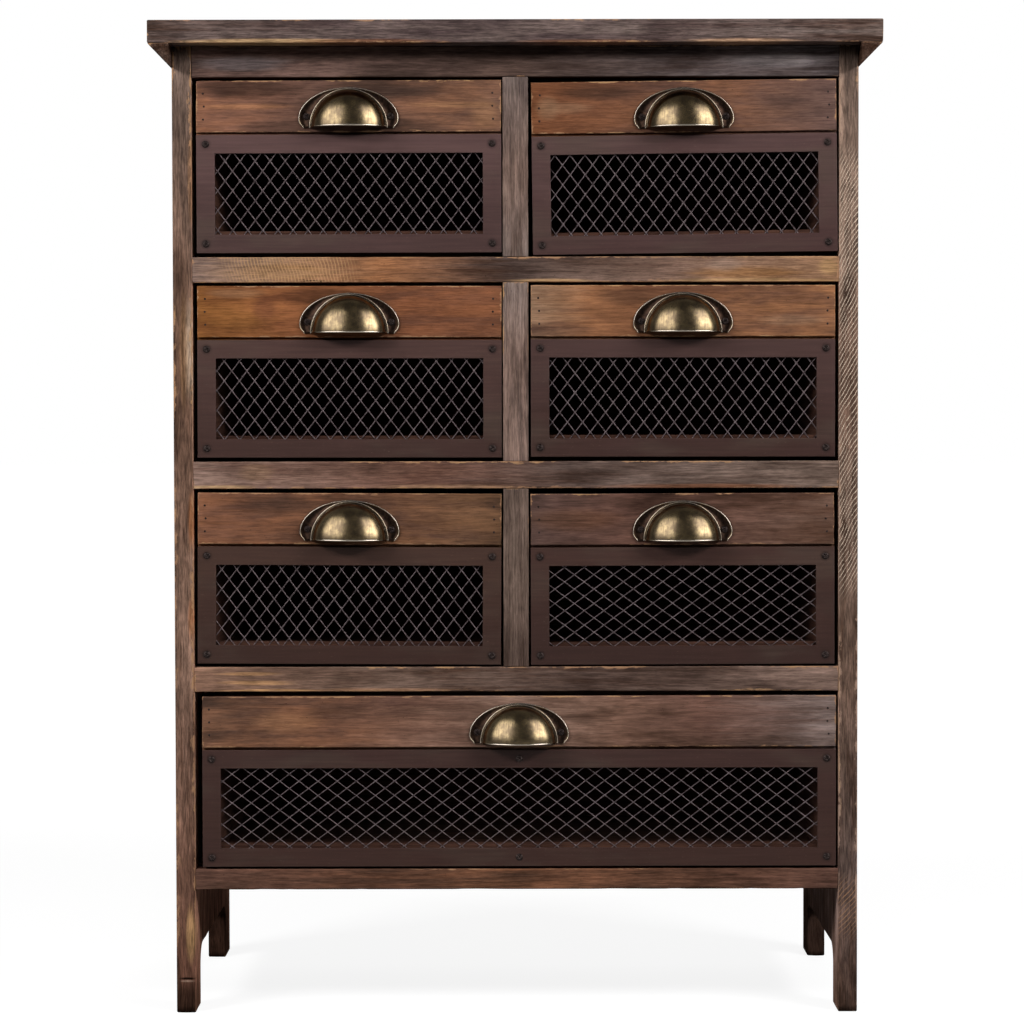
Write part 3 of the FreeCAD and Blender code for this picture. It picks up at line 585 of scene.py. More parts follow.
RAIL_WOODS = {
    "top": dict(
        dark=("coffee", (0.5, "umber"), "umber"), light=("brown", (0.5, "coffee"), "grey"),
        wear=0.45, wear_width=1.2, glaze=((1.45, "cold"),),
        patches=(("grey", -225, -2, 40, 6, 0.6, 1.5), ("ash", 215, 0, 45, 6, 0.4, 1.5)),
    ),
    "upper": dict(
        dark=("grey", (0.2, "brown"), (0.45, "umber"), (0.55, "coffee"), "brown"),
        light=("fawn", (0.12, "tan"), (0.3, "amber"), (0.5, "grey"), (0.75, "fawn"), "tan"),
        light_amount=0.8, wear=0.8, wear_width=2.2, glaze=((0.85, "cool"), (0.9, "even")),
        patches=(
            ("honey", -190, -2, 36, 7, 0.8, 1.5), ("tan", -205, -3, 50, 6, 0.6, 1.5),
            ("umber", -165, -9.5, 12, 1.4, 0.9, 0.5), ("honey", 190, -3, 50, 6, 0.6, 1.5),
            ("straw", 200, -9.5, 75, 2.2, 0.9, 1), ("umber", -15, 0, 40, 12, 0.5, 1.5),
            ("straw", 258, 2, 9, 8, 0.7, 0.7), ("sand", 172, 4, 16, 6, 0.45, 1.2),
            ("straw", 30, -9.3, 36, 1.8, 0.8, 0.8),
        ),
        saws=((-0.27, 2.7, 0.6, -248, -125, 0.1, "straw"),),
    ),
    "middle": dict(
        dark=("brown", (0.5, "coffee"), "umber"),
        light=("fawn", (0.35, "brown"), (0.6, "grey"), "ash"), light_amount=0.65, wear=0.65,
        wear_width=2, glaze=((1.05, "cool"), (1.05, "even")),
        patches=(
            ("umber", 60, 0, 30, 8, 0.6, 1), ("tan", -215, 2, 14, 8, 0.45, 1.4),
            ("straw", -245, -9.8, 30, 1.6, 0.7, 0.8), ("tan", -60, -10, 60, 2, 0.7, 1),
            ("rust", 150, -9.5, 80, 2.2, 0.6, 1),
        ),
    ),
    "lower": dict(
        dark=("grey", (0.4, "coffee"), "umber"),
        light=("fawn", (0.3, "ash"), (0.6, "grey"), "fawn"), light_amount=0.6, wear=0.65,
        wear_width=2, glaze=((1.05, "warm"), (0.9, "cool")),
        patches=(
            ("straw", -215, -3, 34, 2.2, 0.55, 1.7), ("straw", -222, 4.5, 26, 1.8, 0.5, 1.6),
            ("straw", -205, -9.5, 45, 1.8, 0.8, 1), ("tan", -110, -9, 60, 2, 0.6, 1),
            ("umber", 120, 0, 60, 7, 0.5, 1.5),
        ),
    ),
    "bottom": dict(
        dark=("coffee", (0.5, "coffee"), "umber"), light=("brown", (0.5, "rust"), "brown"),
        light_amount=0.55, wear=0.45, wear_width=1.3, glaze=((1.15, "cool"),),
    ),
}

MULLION_WOODS = {
    "upper": dict(
        dark=("coffee", "grey"), light=("ash", (0.5, "fawn"), "ash"), glaze=((1.0, "cool"),),
    ),
    "middle": dict(
        dark=("grey", "coffee"), light=("fawn", (0.5, "fawn"), "ash"), glaze=((1.1, "cool"),),
    ),
    "lower": dict(
        dark=("umber", "grey"), light=("grey", (0.5, "ash"), "ash"), glaze=((0.85, "even"),),
    ),
}

left_wood = wood_material(
    "left_panel_wood", ("umber", (0.04, "coffee"), (0.5, "coffee"), (0.8, "grey"), "grey"),
    ("coffee", (0.05, "brown"), (0.4, "fawn"), (0.7, "fawn"), "ash"), 400, wear=0.75,
    wear_width=3.2, worn="tan", heart=40, rings=0.2, light_amount=0.7,
    glaze=((0.9, "even"), (1.05, "even"), (0.5, "warm"), (0.75, "even")), edge=-140,
    # Painted light: the inner face is made 3.2 times lighter
    painted_light_face=(-1, SIDE_THICKNESS, 3.2),
    patches=(
        ("cream", 148, -5.5, 44, 4.5, 0.8, 1.2), ("straw", 150, -1, 46, 4, 0.35, 1.6),
        ("amber", 10, -6, 26, 3, 0.8, 1.3), ("amber", -72, -6, 20, 3, 0.7, 1.3),
        ("tan", 290, -7, 36, 2.4, 0.7, 1.3), ("straw", -334, -3.8, 25, 4, 0.8, 0.9),
        ("umber", -388, 0, 16, 12, 0.75, 0.6), ("black", -371, -1, 1.1, 7, 0.95, 0.2),
        ("sand", -373.2, -1, 1, 6, 0.6, 0.3), ("umber", 215, 3, 25, 6, 0.5, 1.3),
        # Painted shade: umber over the front of the back leg near the floor
        ("umber", -372, 0, 45, 40, 0.8, 0.4, 108),
    ),
)

right_wood = wood_material(
    "right_panel_wood", ("umber", (0.08, "coffee"), (0.5, "coffee"), (0.8, "grey"), "grey"),
    ("coffee", (0.15, "grey"), (0.5, "ash"), (0.7, "fawn"), (0.85, "sand"), "ash"), 400,
    worn="sand", wear=0.6, wear_width=2.4, heart=40, rings=0.2, light_amount=0.7,
    glaze=((1.4, "cool"), (0.85, "warm"), (0.6, "even"), (0.65, "even")), edge=-140,
    # Painted light: the inner face is made 2.8 times lighter
    painted_light_face=(1, SIDE_THICKNESS, 2.8),
    patches=(
        ("sand", 280, 2, 40, 6, 0.7, 1.2), ("sand", 340, 6, 50, 2.5, 0.8, 0.8),
        ("fawn", 120, 0, 60, 7, 0.6, 1.4), ("umber", 200, 0, 14, 7, 0.5, 1.2),
        # Painted shade: umber over the front of the back leg near the floor
        ("umber", -372, 0, 45, 40, 0.8, 0.4, 108),
    ),
    saws=((-1.75, 5.4, 1, -60, 322, 0.6, "cream"), (-1.3, 4.6, 0.8, -345, -280, 0.5, "tan")),
)

plain_wood = wood_material(
    "plain_wood", ("umber", (0.5, "coffee"), "umber"), ("coffee", (0.5, "grey"), "coffee"), 300,
    wear=0.4, heart=25, glaze=((0.8, "even"),),
)

# Woods of the drawers' front boards
BOARD_WOODS = {
    "upper_left": dict(
        dark=("brown", (0.4, "coffee"), (0.7, "coffee"), "brown"),
        light=("rust", (0.4, "brown"), (0.8, "rust"), "rust"),
        glaze=((1.2, "cool"), (0.95, "cold")),
        patches=(
            ("umber", -85, 14, 45, 8, 0.75, 1.2), ("coffee", 20, 12, 60, 8, 0.5, 1.2),
            ("amber", 88, 1, 42, 2.8, 0.7, 1), ("amber", -85, 0, 40, 2.6, 0.5, 1),
            ("amber", 112, -6, 12, 14, 0.6, 0.8),
        ),
    ),
    "upper_right": dict(
        dark=("rust", (0.4, "brown"), (0.8, "brown"), "brown"),
        light=("rust", (0.3, "rust"), (0.7, "rust"), "brown"),
        glaze=((0.65, "even"), (1.1, "cold")),
        patches=(
            ("tan", -112, 0, 10, 10, 0.55, 0.6), ("tan", -98, 0, 22, 5, 0.4, 0.8),
            ("coffee", -70, 12, 35, 6, 0.6, 1.4), ("coffee", 100, 0, 50, 16, 0.3, 1),
        ),
    ),
    "middle_left": dict(
        dark=("rust", (0.3, "russet"), (0.5, "coffee"), (0.7, "brown"), "brown"),
        light=("honey", (0.3, "amber"), (0.6, "rust"), "rust"), light_amount=0.65,
        glaze=((0.65, "warm"), (0.95, "even")),
        patches=(
            ("umber", -20, 12, 40, 8, 0.5, 1.4), ("honey", -95, -8, 35, 9, 0.6, 1.2),
            ("tan", -95, 15, 24, 4, 0.6, 1.2), ("russet", -70, 2, 10, 12, 0.5, 1),
        ),
    ),
    "middle_right": dict(
        dark=("brown", (0.3, "rust"), (0.7, "brown"), "brown"),
        light=("tan", (0.2, "amber"), (0.5, "rust"), (0.7, "amber"), "amber"), light_amount=0.7,
        glaze=((0.8, "cool"), (0.9, "cool")),
        patches=(("coffee", -45, 12, 30, 7, 0.5, 1.4), ("tan", 90, -8, 30, 5, 0.4, 1)),
    ),
    "lower_left": dict(
        dark=("brown", (0.4, "coffee"), (0.8, "brown"), "coffee"),
        light=("rust", (0.5, "rust"), (0.85, "amber"), "amber"), light_amount=0.6,
        glaze=((1.2, "cool"), (0.6, "cold")),
        patches=(("coffee", -60, 10, 40, 7, 0.5, 1.4), ("amber", 95, -5, 28, 9, 0.4, 1)),
    ),
    "lower_right": dict(
        dark=("coffee", (0.4, "umber"), "coffee"), light=("brown", (0.4, "brown"), "grey"),
        glaze=((0.85, "cold"), (1.2, "warm")), patches=(("rust", -90, 0, 40, 10, 0.4, 1.2),),
    ),
    "bottom": dict(
        dark=("coffee", (0.3, "brown"), (0.6, "coffee"), "coffee"),
        light=("rust", (0.2, "rust"), (0.5, "fawn"), (0.8, "brown"), "fawn"), light_amount=0.55,
        glaze=((1.15, "cold"), (1.15, "cool"), (1.1, "even"), (1.4, "cold")),
        patches=(
            ("amber", -192, 0, 30, 9, 0.5, 0.9), ("rust", -182, -9, 26, 2.6, 0.6, 1),
            ("rust", -178, 9, 30, 3, 0.5, 1.2), ("coffee", -150, 8, 26, 8, 0.5, 1),
            ("coffee", -60, 8, 60, 8, 0.4, 1.4), ("brown", 190, 0, 60, 12, 0.4, 1.2),
        ),
    ),
}


def frame_material(name, lit_upper_tone, shaded_lower_tone, width, seed):
    """Dark purple-brown enamel on thin steel, a little mottled and rubbed, with painted light:
    lighter at the top, darker at the bottom.
    """
    material, tree, shader = new_material(name, specular=0.22)
    local = tree.coordinates()
    place = tree.vmath("ADD", local, (seed * 3.7, seed, 0))
    cloud = tree.stretched(place, (14, 14, 30), 3, 0.6)
    fine = tree.stretched(place, (300, 300, 900), 3, 0.6)
    stain = tree.stretched(place, (9, 9, 26), 3, 0.6)
    streak = tree.stretched(place, (16, 16, 420), 3, 0.6)
    x, _, z = tree.split(local)
    # Painted light and shade: the enamel runs from the lighter upper tone to the darker lower one,
    # mottled by the cloud
    upper = tree.times(z, 1 / (FRAME_HEIGHT * MM))
    upper = tree.plus(upper, tree.times(tree.minus(cloud, 0.5), 2))
    colour = tree.mix(tree.span(upper, 0, 1), shaded_lower_tone, lit_upper_tone)
    colour = tree.mix(tree.span(fine, 0.6, 0.8, 0, 0.35), colour, "ash")
    colour = tree.mix(tree.span(stain, 0.48, 0.72, 0, 0.5), colour, "4c4038")
    # Darker around the screws in the corners
    screw_x, screw_z = (width - FRAME_MEMBER) / 2 * MM, (FRAME_HEIGHT - FRAME_MEMBER) / 2 * MM
    beside = tree.minus(tree.math("ABSOLUTE", x), screw_x)
    above = tree.math("ABSOLUTE", tree.minus(z, FRAME_HEIGHT / 2 * MM))
    distance = tree.length(beside, tree.minus(above, screw_z))
    screw_darkening = tree.span(distance, 3 * MM, 5.5 * MM, 0.62, 1)
    colour = tree.shaded(colour, tree.times(tree.span(streak, 0.3, 0.7, 0.86, 1.12), screw_darkening))
    roughness = tree.span(cloud, 0.3, 0.7, 0.5, 0.38)
    height = tree.plus(fine, tree.times(cloud, 4))
    tree.surface(shader, colour, roughness, height, 0.25, 0.1)
    return material


def steel_material(name, low, high, roughness, metallic):
    """Darkened steel with a fine mottle."""
    material, tree, shader = new_material(name, roughness, metallic)
    mottle = tree.noise(tree.coordinates(), 700, 3, 0.65)
    colour = tree.mix(tree.span(mottle, 0.35, 0.65), low, high)
    uneven = tree.span(mottle, 0.3, 0.7, roughness - 0.1, roughness + 0.12)
    tree.surface(shader, colour, uneven, mottle, 0.3, 0.05)
    return material


def bronze_material():
    """Antique bronze: dark in the hollows, rubbed bright on beads and lip, brushed upright."""
    material, tree, shader = new_material("antique_bronze", 0.32, 1.0)
    place = tree.coordinates()
    rub = tree.attribute("rub", "Fac")
    brushed = tree.stretched(place, (1500, 400, 60), 3, 0.6)
    cloud = tree.noise(place, 110, 3, 0.6)
    spot = tree.noise(place, 420, 4, 0.7)
    body = tree.mix(tree.span(cloud, 0.35, 0.65), "6b5c48", "958262")
    body = tree.mix(tree.span(brushed, 0.4, 0.7, 0, 0.4), body, "46382c")
    body = tree.mix(tree.span(spot, 0.6, 0.74, 0, 0.6), body, "2b211a")
    hollow = tree.mix(tree.span(spot, 0.4, 0.6), "1e1412", "35261f")
    colour = tree.mix(tree.span(rub, 0, 0.5), hollow, body)
    colour = tree.mix(tree.span(rub, 0.5, 0.95), colour, "eadccd")
    dull = tree.span(rub, 0, 0.5, 0.12, 0)
    rough = tree.plus(tree.span(brushed, 0.3, 0.7, 0.17, 0.25), dull)
    tree.surface(shader, colour, rough, tree.plus(brushed, tree.times(spot, 0.5)), 0.25, 0.05)
    return material


def inside_material(name, low, high):
    """Dark inner wood on a carried-over node: grain along Y on its sides, along X elsewhere."""
    material, tree, shader = new_material(name, 0.75, specular=0.15)
    place = tree.coordinates()
    facing_x = tree.split(tree.coordinates("Normal"))["X"]
    on_side = tree.math("GREATER_THAN", tree.math("ABSOLUTE", facing_x), 0.7)
    layers = []
    for slow, fast in ((9.0, 170.0), (45.0, 900.0)):
        along_y = tree.stretched(place, (fast, slow, fast), 4, 0.62)
        along_x = tree.stretched(place, (slow, fast, fast), 4, 0.62)
        pick = tree.node("ShaderNodeMix", on_side, None, along_x, along_y, data_type="FLOAT")
        layers.append(pick.outputs["Result"])
    streak = tree.plus(tree.times(layers[0], 0.6), tree.times(layers[1], 0.4))
    colour = tree.mix(tree.span(streak, 0.38, 0.62), low, high)
    cloud = tree.noise(place, 11, 3, 0.6)
    colour = tree.mix(tree.span(cloud, 0.4, 0.75, 0, 0.5), colour, low)
    tree.surface(shader, colour, None, streak, 0.4, 0.3)
    return material


# Enamel tones of each drawer's frame, at its upper and at its lower edge; their difference is
# painted light, lighter at the top and darker at the bottom
FRAME_TONES = {
    "upper_left": ("543f3d", "443230"),
    "upper_right": ("503c3a", "422f2d"),
    "middle_left": ("4a3632", "3c2a26"),
    "middle_right": ("473431", "3a2824"),
    "lower_left": ("433029", "372520"),
    "lower_right": ("412d28", "352420"),
    "bottom": ("3e2b27", "3b2823"),
}
mesh_steel = steel_material("mesh_steel", "4c4143", "897b7d", 0.45, 0.4)
screw_steel = steel_material("screw_steel", "1c1413", "3d322f", 0.42, 0.8)
nail_steel = steel_material("nail_steel", "17100d", "2f241f", 0.55, 0.6)
bronze = bronze_material()
inner_wood = inside_material("inner_wood", "2c1b16", "50372d")
hidden_wood = inside_material("hidden_wood", "2a1d17", "553f32")


def recolour(node, material):
    """Give a carried-over node its material."""
    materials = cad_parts[node].data.materials
    materials.clear()
    materials.append(material)


def bridge(bm, rings):
    """Join rings of as many points each with quads."""
    for first, second in zip(rings, rings[1:]):
        for i in range(len(first)):
            j = (i + 1) % len(first)
            bm.faces.new((first[i], first[j], second[j], second[i]))


def closed_body(bm, rings):
    bridge(bm, rings)
    bm.faces.new(rings[0][::-1])
    bm.faces.new(rings[-1])


def circle(bm, middle, side, other, radius, sides):
    """Points around a middle, in the plane of two directions."""
    turns = (math.tau * i / sides for i in range(sides))
    ways = [side * math.cos(a) + other * math.sin(a) for a in turns]
    return [bm.verts.new(middle + way * radius) for way in ways]


def make_top():
    bm = new_bmesh()
    turn = axes(X, Y, (0, 0, HEIGHT - (TOP_THICKNESS + NAIL_SINK) / 2))
    outline = rectangle(TOP_WIDTH, TOP_DEPTH)
    plate(bm, outline, TOP_THICKNESS - NAIL_SINK, turn, 1.0, bevel=1.0, dents=0.4)
    carcass_piece("top_board", bm, top_wood, "top_panel")


def make_cornice(side, side_name, seed):
    """Triangular strip under the overhang: a prism along Y with soft, worn arrises."""
    bm = new_bmesh()
    layers = bm.verts.layers.float_vector
    wall, edge, half_depth = BODY_HALF, TOP_WIDTH / 2, TOP_DEPTH / 2
    section = (
        (edge - 0.4, UNDERSIDE), (edge - 0.9, UNDERSIDE - 0.9),
        (wall + 0.6, UNDERSIDE - SIDE_OVERHANG + 0.6), (wall, UNDERSIDE - SIDE_OVERHANG + 0.2),
        (wall, UNDERSIDE),
    )
    centre_x, centre_z = side * (wall + 6), UNDERSIDE - 6
    run = half_depth - 2.0
    stations = [-run + 2 * run * i / 48 for i in range(49)]
    stations = [-half_depth, 0.6 - half_depth] + stations + [half_depth - 0.6, half_depth]
    rings = []
    for y in stations:
        ring = []
        pull_in = 0.05 if abs(y) == half_depth else 0.0
        for index, (x, z) in enumerate(section):
            worn = 0.4 * max(0.0, smooth_noise(y * 0.05, seed, index)) if index in (1, 2) else 0.0
            px = side * x + (centre_x - side * x) * pull_in - side * worn
            pz = z + (centre_z - z) * (pull_in if z < UNDERSIDE else 0.0)
            vert = bm.verts.new((px, y, pz))
            vert[layers["local"]] = (y, px - centre_x, pz - UNDERSIDE + 9)
            vert[layers["place"]] = (y + 900 * seed, px + 77 * seed, pz)
            vert[layers["half"]] = (half_depth, 8.8, 8.8)
            ring.append(vert)
        rings.append(ring)
    closed_body(bm, rings)
    carcass_piece(f"{side_name}_cornice_strip", bm, plain_wood, f"{side_name}_cornice")


def make_side(side, side_name, seed):
    """Side panel, grain upright, with its lower edge cut away between the legs."""
    corners = []
    for centre_y, back in ((CUT_BACK - CUT_RADIUS, True), (CUT_FRONT + CUT_RADIUS, False)):
        for step in range(9):
            angle = math.radians(90 * step / 8)
            c, s = CUT_RADIUS * math.cos(angle), CUT_RADIUS * math.sin(angle)
            dy, dz = (c, s) if back else (-s, c)
            corners.append((CUT_TOP - CUT_RADIUS + dz, centre_y + dy))
    outline = [(0.0, FRONT_Y), (UNDERSIDE, FRONT_Y), (UNDERSIDE, BACK_Y), (0.0, BACK_Y)]
    outline = divided(outline + [(0.0, CUT_BACK)] + corners + [(0.0, CUT_FRONT)])
    middle_z, middle_y = UNDERSIDE / 2, (FRONT_Y + BACK_Y) / 2
    outline = [(z - middle_z, y - middle_y) for z, y in outline]
    turn = axes(Z, Y, (side * (BODY_HALF - SIDE_THICKNESS / 2), middle_y, middle_z))
    bm = new_bmesh()
    plate(bm, outline, SIDE_THICKNESS, turn, seed, bevel=1.1, dents=0.9)
    material = left_wood if side < 0 else right_wood
    carcass_piece(f"{side_name}_side_board", bm, material, f"{side_name}_side_panel")


def make_rail(rail, seed):
    low, high = RAILS[rail]
    corners = (-INNER_HALF, FRONT_Y, low), (INNER_HALF, FRONT_Y + RAIL_DEPTH, high)
    look = dict(contrast=0.7, soft=0.15, fibres=0.65, **RAIL_WOODS[rail])
    material = wood_material(f"{rail}_rail_wood", half_length=INNER_HALF, **look)
    carcass_board(f"{rail}_rail_board", *corners, X, Z, material, f"{rail}_rail", seed)


def make_mullion(row, seed):
    low, high = RAILS[row][1], RAILS[ROWS[row]][0]
    corners = (-MULLION_HALF, FRONT_Y, low), (MULLION_HALF, FRONT_Y + RAIL_DEPTH, high)
    look = dict(light_amount=0.6, heart=8.0, rings=0.4, contrast=0.75, soft=0.13, fibres=0.7)
    look.update(MULLION_WOODS[row], half_length=(high - low) / 2)
    material = wood_material(f"{row}_mullion_wood", **look)
    name, node = f"{row}_mullion_board", f"{row}_mullion"
    carcass_board(name, *corners, Z, (-1, 0, 0), material, node, seed, bevel=0.7)


def make_back():
    low = (-INNER_HALF, BACK_Y - BACK_THICKNESS, RAILS["bottom"][0])
    high = (INNER_HALF, BACK_Y - NAIL_SINK, UNDERSIDE)
    options = dict(slot="back_wood", dents=0.2)
    carcass_board("back_board", low, high, Z, X, plain_wood, "back_panel", 30, **options)


def add_disc(bm, centre, outward, radius, proud=0.06):
    """Low dome with a flat back, standing on a surface."""
    normal = Vector(outward)
    side = normal.orthogonal().normalized()
    other = normal.cross(side)
    rings = []
    for share, lift in ((1.0, -0.6), (1.0, 0.2), (0.7, 0.9)):
        middle = Vector(centre) + normal * proud * lift
        rings.append(circle(bm, middle, side, other, radius * share, 14))
    closed_body(bm, rings)


def make_nail_heads():
    bm = bmesh.new()
    for low, high in RAILS.values():
        level = (low + high) / 2
        for y in (FRONT_Y + RAIL_DEPTH / 2, BACK_Y - 14.0):
            for side in (-1, 1):
                add_disc(bm, (side * BODY_HALF, y, level), (side, 0, 0), NAIL_RADIUS)
        for step in (-1.5, -0.5, 0.5, 1.5):
            place = (step * INNER_HALF / 2, BACK_Y - NAIL_SINK, level)
            add_disc(bm, place, Y, NAIL_RADIUS, proud=0.02)
    for side in (-1, 1):
        for y in (FRONT_Y + 30.0, 10.0, BACK_Y - 30.0):
            place = (side * (BODY_HALF - SIDE_THICKNESS / 2), y, HEIGHT - NAIL_SINK)
            add_disc(bm, place, Z, NAIL_RADIUS, proud=0.02)
    options = dict(slot="nail_metal", weighted=False)
    carcass_piece("carcass_nail_heads", bm, nail_steel, "carcass_nails", **options)


def add_strand(bm, start, end, twist):
    """Strand of expanded metal from start to end, its section turned by twist."""
    start, end, normal = Vector(start), Vector(end), Vector((0, -1, 0))
    side = normal.cross((end - start).normalized()).normalized()
    wide = side * math.cos(twist) + normal * math.sin(twist)
    flat = normal * math.cos(twist) - side * math.sin(twist)
    rings = []
    for t, spread in ((0.0, 1.25), (0.3, 1.0), (0.7, 1.0), (1.0, 1.25)):
        middle = start.lerp(end, t)
        half_width, half_thickness = STRAND_WIDTH * spread / 2, STRAND_THICKNESS / 2
        ring = [
            bm.verts.new(middle + wide * a * half_width + flat * b * half_thickness)
            for a, b in ((-1, -1), (1, -1), (1, 1), (-1, 1))
        ]
        rings.append(ring)
    closed_body(bm, rings)


def mesh_sheet(half_width, low, high, across, up, right, rise):
    """Expanded metal over a rectangle: strands between knuckles, cut at the rectangle."""
    bm = bmesh.new()
    step_x, step_z = across / 2, up / 2
    limits = ((-half_width, half_width), (low, high))
    columns = int(half_width / step_x) + 3
    rows = int((high - low) / 2 / step_z) + 3
    for i in range(-columns, columns + 1):
        for j in range(-rows, rows + 1):
            if (i + j) % 2 == 0:
                continue
            start = (right + i * step_x, (low + high) / 2 + rise + j * step_z)
            for lean in (-1, 1):
                run = (lean * step_x, step_z)
                first, last = 0.0, 1.0
                for at, way, (lowest, highest) in zip(start, run, limits):
                    crossings = sorted(((lowest - at) / way, (highest - at) / way))
                    first, last = max(first, crossings[0]), min(last, crossings[1])
                if last - first < SHORTEST_STRAND:
                    continue
                ends = [
                    (start[0] + run[0] * t, MESH_Y, start[1] + run[1] * t) for t in (first, last)
                ]
                add_strand(bm, *ends, STRAND_TWIST * lean)
    return bm


# Shares of the cup's radius at which its dome has points, closer towards the foot
DOME_SHARES = (
    0.0, 0.02, 0.06, 0.14, 0.24, 0.36, 0.48, 0.58, 0.67, 0.75, 0.82, 0.88, 0.92, 0.95, 0.965,
    0.98, 0.99,
)


def dome_height(share):
    """Height of the cup over its base, as a share, at a share of the cup's radius."""
    if share >= 1.0:
        return 0.0
    if share > FLARE:
        t = (1.0 - share) / (1.0 - FLARE)
        return t * t * math.sqrt(1.0 - FLARE**2) * 0.9
    return math.sqrt(1.0 - share**2)


def in_flange(x, z):
    """Whether a point right of the cup's middle lies in the outline of the flange."""
    wing = FLANGE_HALF - CORNER_RADIUS
    arch = (x / FLANGE_HALF) ** 2 + ((z - ARC_LEVEL) / ARC_HEIGHT) ** 2 <= 1
    return (
        (z >= ARC_LEVEL and arch)
        or math.hypot(x - wing, z - ARC_LEVEL) <= CORNER_RADIUS
        or (x <= wing and ARC_LEVEL - CORNER_RADIUS <= z <= ARC_LEVEL)
    )


def flange_reach(angle):
    """Distance from the cup's centre to the flange's outer edge in a direction, 0 to pi."""
    c, s = math.cos(angle), math.sin(angle)
    distances = (step * 0.05 for step in range(1, 901))
    return max(r for r in distances if in_flange(abs(r * c), r * s))


def pull_profile(angle):
    """Points of the pull in one direction: distance, level over the wall, and how rubbed."""
    profile = []
    for share in DOME_SHARES:
        level = (CUP_PROJECTION - WALL) * dome_height(share)
        profile.append((CUP_RADIUS * share, level, 0.5))
    reach = max(flange_reach(max(min(angle, math.pi - 0.03), 0.03)), CUP_RADIUS + 1.4)
    # Bead where the dome meets the flange, then the flat, then the bead of the flange's edge
    profile += [
        (CUP_RADIUS - 0.1, 0.2, 0.4), (CUP_RADIUS + 0.25, 0.7, 1.0), (CUP_RADIUS + 0.6, 0.25, 0.4),
        (CUP_RADIUS + 0.85, 0.0, 0.05), (max(CUP_RADIUS + 0.9, reach - 1.3), 0.0, 0.05),
        (reach - 0.85, 0.2, 0.4), (reach - 0.5, 0.5, 1.0), (reach - 0.15, 0.25, 0.6),
        (reach, -0.3, 0.2), (reach, -WALL, 0.1),
    ]
    return profile


def add_pull(bm, rub, angles=72):
    """Stamped cup pull: dome, bead at its foot, flange and rolled edge."""
    lines = []
    for i in range(angles + 1):
        angle = math.pi * i / angles
        c, s = math.cos(angle), math.sin(angle)
        line = []
        for r, level, shine in pull_profile(angle):
            z = max(r * s, 0.0) + PULL_BASE
            vert = bm.verts.new((r * c, min(-WALL - level, -0.05), z))
            vert[rub] = shine
            line.append(vert)
        lines.append(line)
    for first, second in zip(lines, lines[1:]):
        bm.faces.new((first[0], first[1], second[1]))
        for j in range(1, len(first) - 1):
            bm.faces.new((first[j], first[j + 1], second[j + 1], second[j]))
    bmesh.ops.remove_doubles(bm, verts=[line[0] for line in lines], dist=0.001)


def add_bead(bm, points, radius, rub, shine):
    """Round bead along a line of points."""
    rings = []
    for index, point in enumerate(points):
        before, after = points[max(0, index - 1)], points[min(len(points) - 1, index + 1)]
        along = (after - before).normalized()
        side = along.cross(Vector(Z)).normalized()
        ring = circle(bm, point, side, along.cross(side).normalized(), radius, 8)
        for vert in ring:
            vert[rub] = shine
        rings.append(ring)
    closed_body(bm, rings)


def cup_pull():
    """The pull as a sheet, with a bead along its lip."""
    bm = bmesh.new()
    rub = bm.verts.layers.float.new("rub")
    add_pull(bm, rub)
    lip = []
    for i in range(49):
        angle = math.pi * i / 48
        x = (CUP_RADIUS - 0.9) * math.cos(angle)
        y = -WALL - (CUP_PROJECTION - WALL - 0.5) * math.sin(angle)
        lip.append(Vector((x, y, PULL_BASE + LIP_RADIUS)))
    add_bead(bm, lip, LIP_RADIUS, rub, 0.85)
    smooth(bm)
    return bm


def add_screw(bm, x, y, z, height, turn, sides=32):
    """Pan head with a cross recess, facing -Y, its rim at y."""
    arm, reach = 0.13, 0.52

    def lift(share, angle):
        dome = height * (1.0 - 0.75 * share**4)
        px, pz = abs(share * math.cos(angle - turn)), abs(share * math.sin(angle - turn))
        in_cross = min(px, pz) < arm and max(px, pz) < reach
        return dome - (0.75 * height if in_cross else 0.0)

    def point(share, angle, level):
        r = HEAD_RADIUS * share
        return bm.verts.new((x + r * math.cos(angle), level, z + r * math.sin(angle)))

    angles = [math.tau * i / sides for i in range(sides)]
    shares = (0.1, 0.2, 0.3, 0.4, 0.5, 0.62, 0.76, 0.9, 1.0)
    rings = [[point(share, a, y - lift(share, a)) for a in angles] for share in shares]
    rings.append([point(1.0, a, y + 0.3) for a in angles])
    middle = point(0.0, 0.0, y - lift(0.0, 0.0))
    for i in range(sides):
        bm.faces.new((middle, rings[0][(i + 1) % sides], rings[0][i]))
    bridge(bm, rings)
    bm.faces.new(rings[-1])


def fasteners(name, width):
    """Screws of the frame and the pull, and the brads at the ends of the front board."""
    bm = bmesh.new()
    inset = FRAME_MEMBER / 2
    columns = [-width / 2 + inset, width / 2 - inset] + ([0.0] if name == "bottom" else [])
    for x in columns:
        for z in (inset, FRAME_HEIGHT - inset):
            add_screw(bm, x, -0.02, z, 0.7, rng.uniform(0, 1.5))
    for x in (-SCREW_X, SCREW_X):
        add_screw(bm, x, -WALL, PULL_BASE + SCREW_LEVEL, 1.5, rng.uniform(0, 1.5))
    for x in (-width / 2 + BRAD_INSET, width / 2 - BRAD_INSET):
        for quarter in (1, 2, 3):
            px = x + rng.uniform(-BRAD_WANDER, BRAD_WANDER)
            pz = SHOULDER + (FRONT_HEIGHT - SHOULDER) * quarter / 4
            add_disc(bm, (px, 0.0, pz), (0, -1, 0), BRAD_RADIUS, proud=0.05)
    smooth(bm)
    return bm


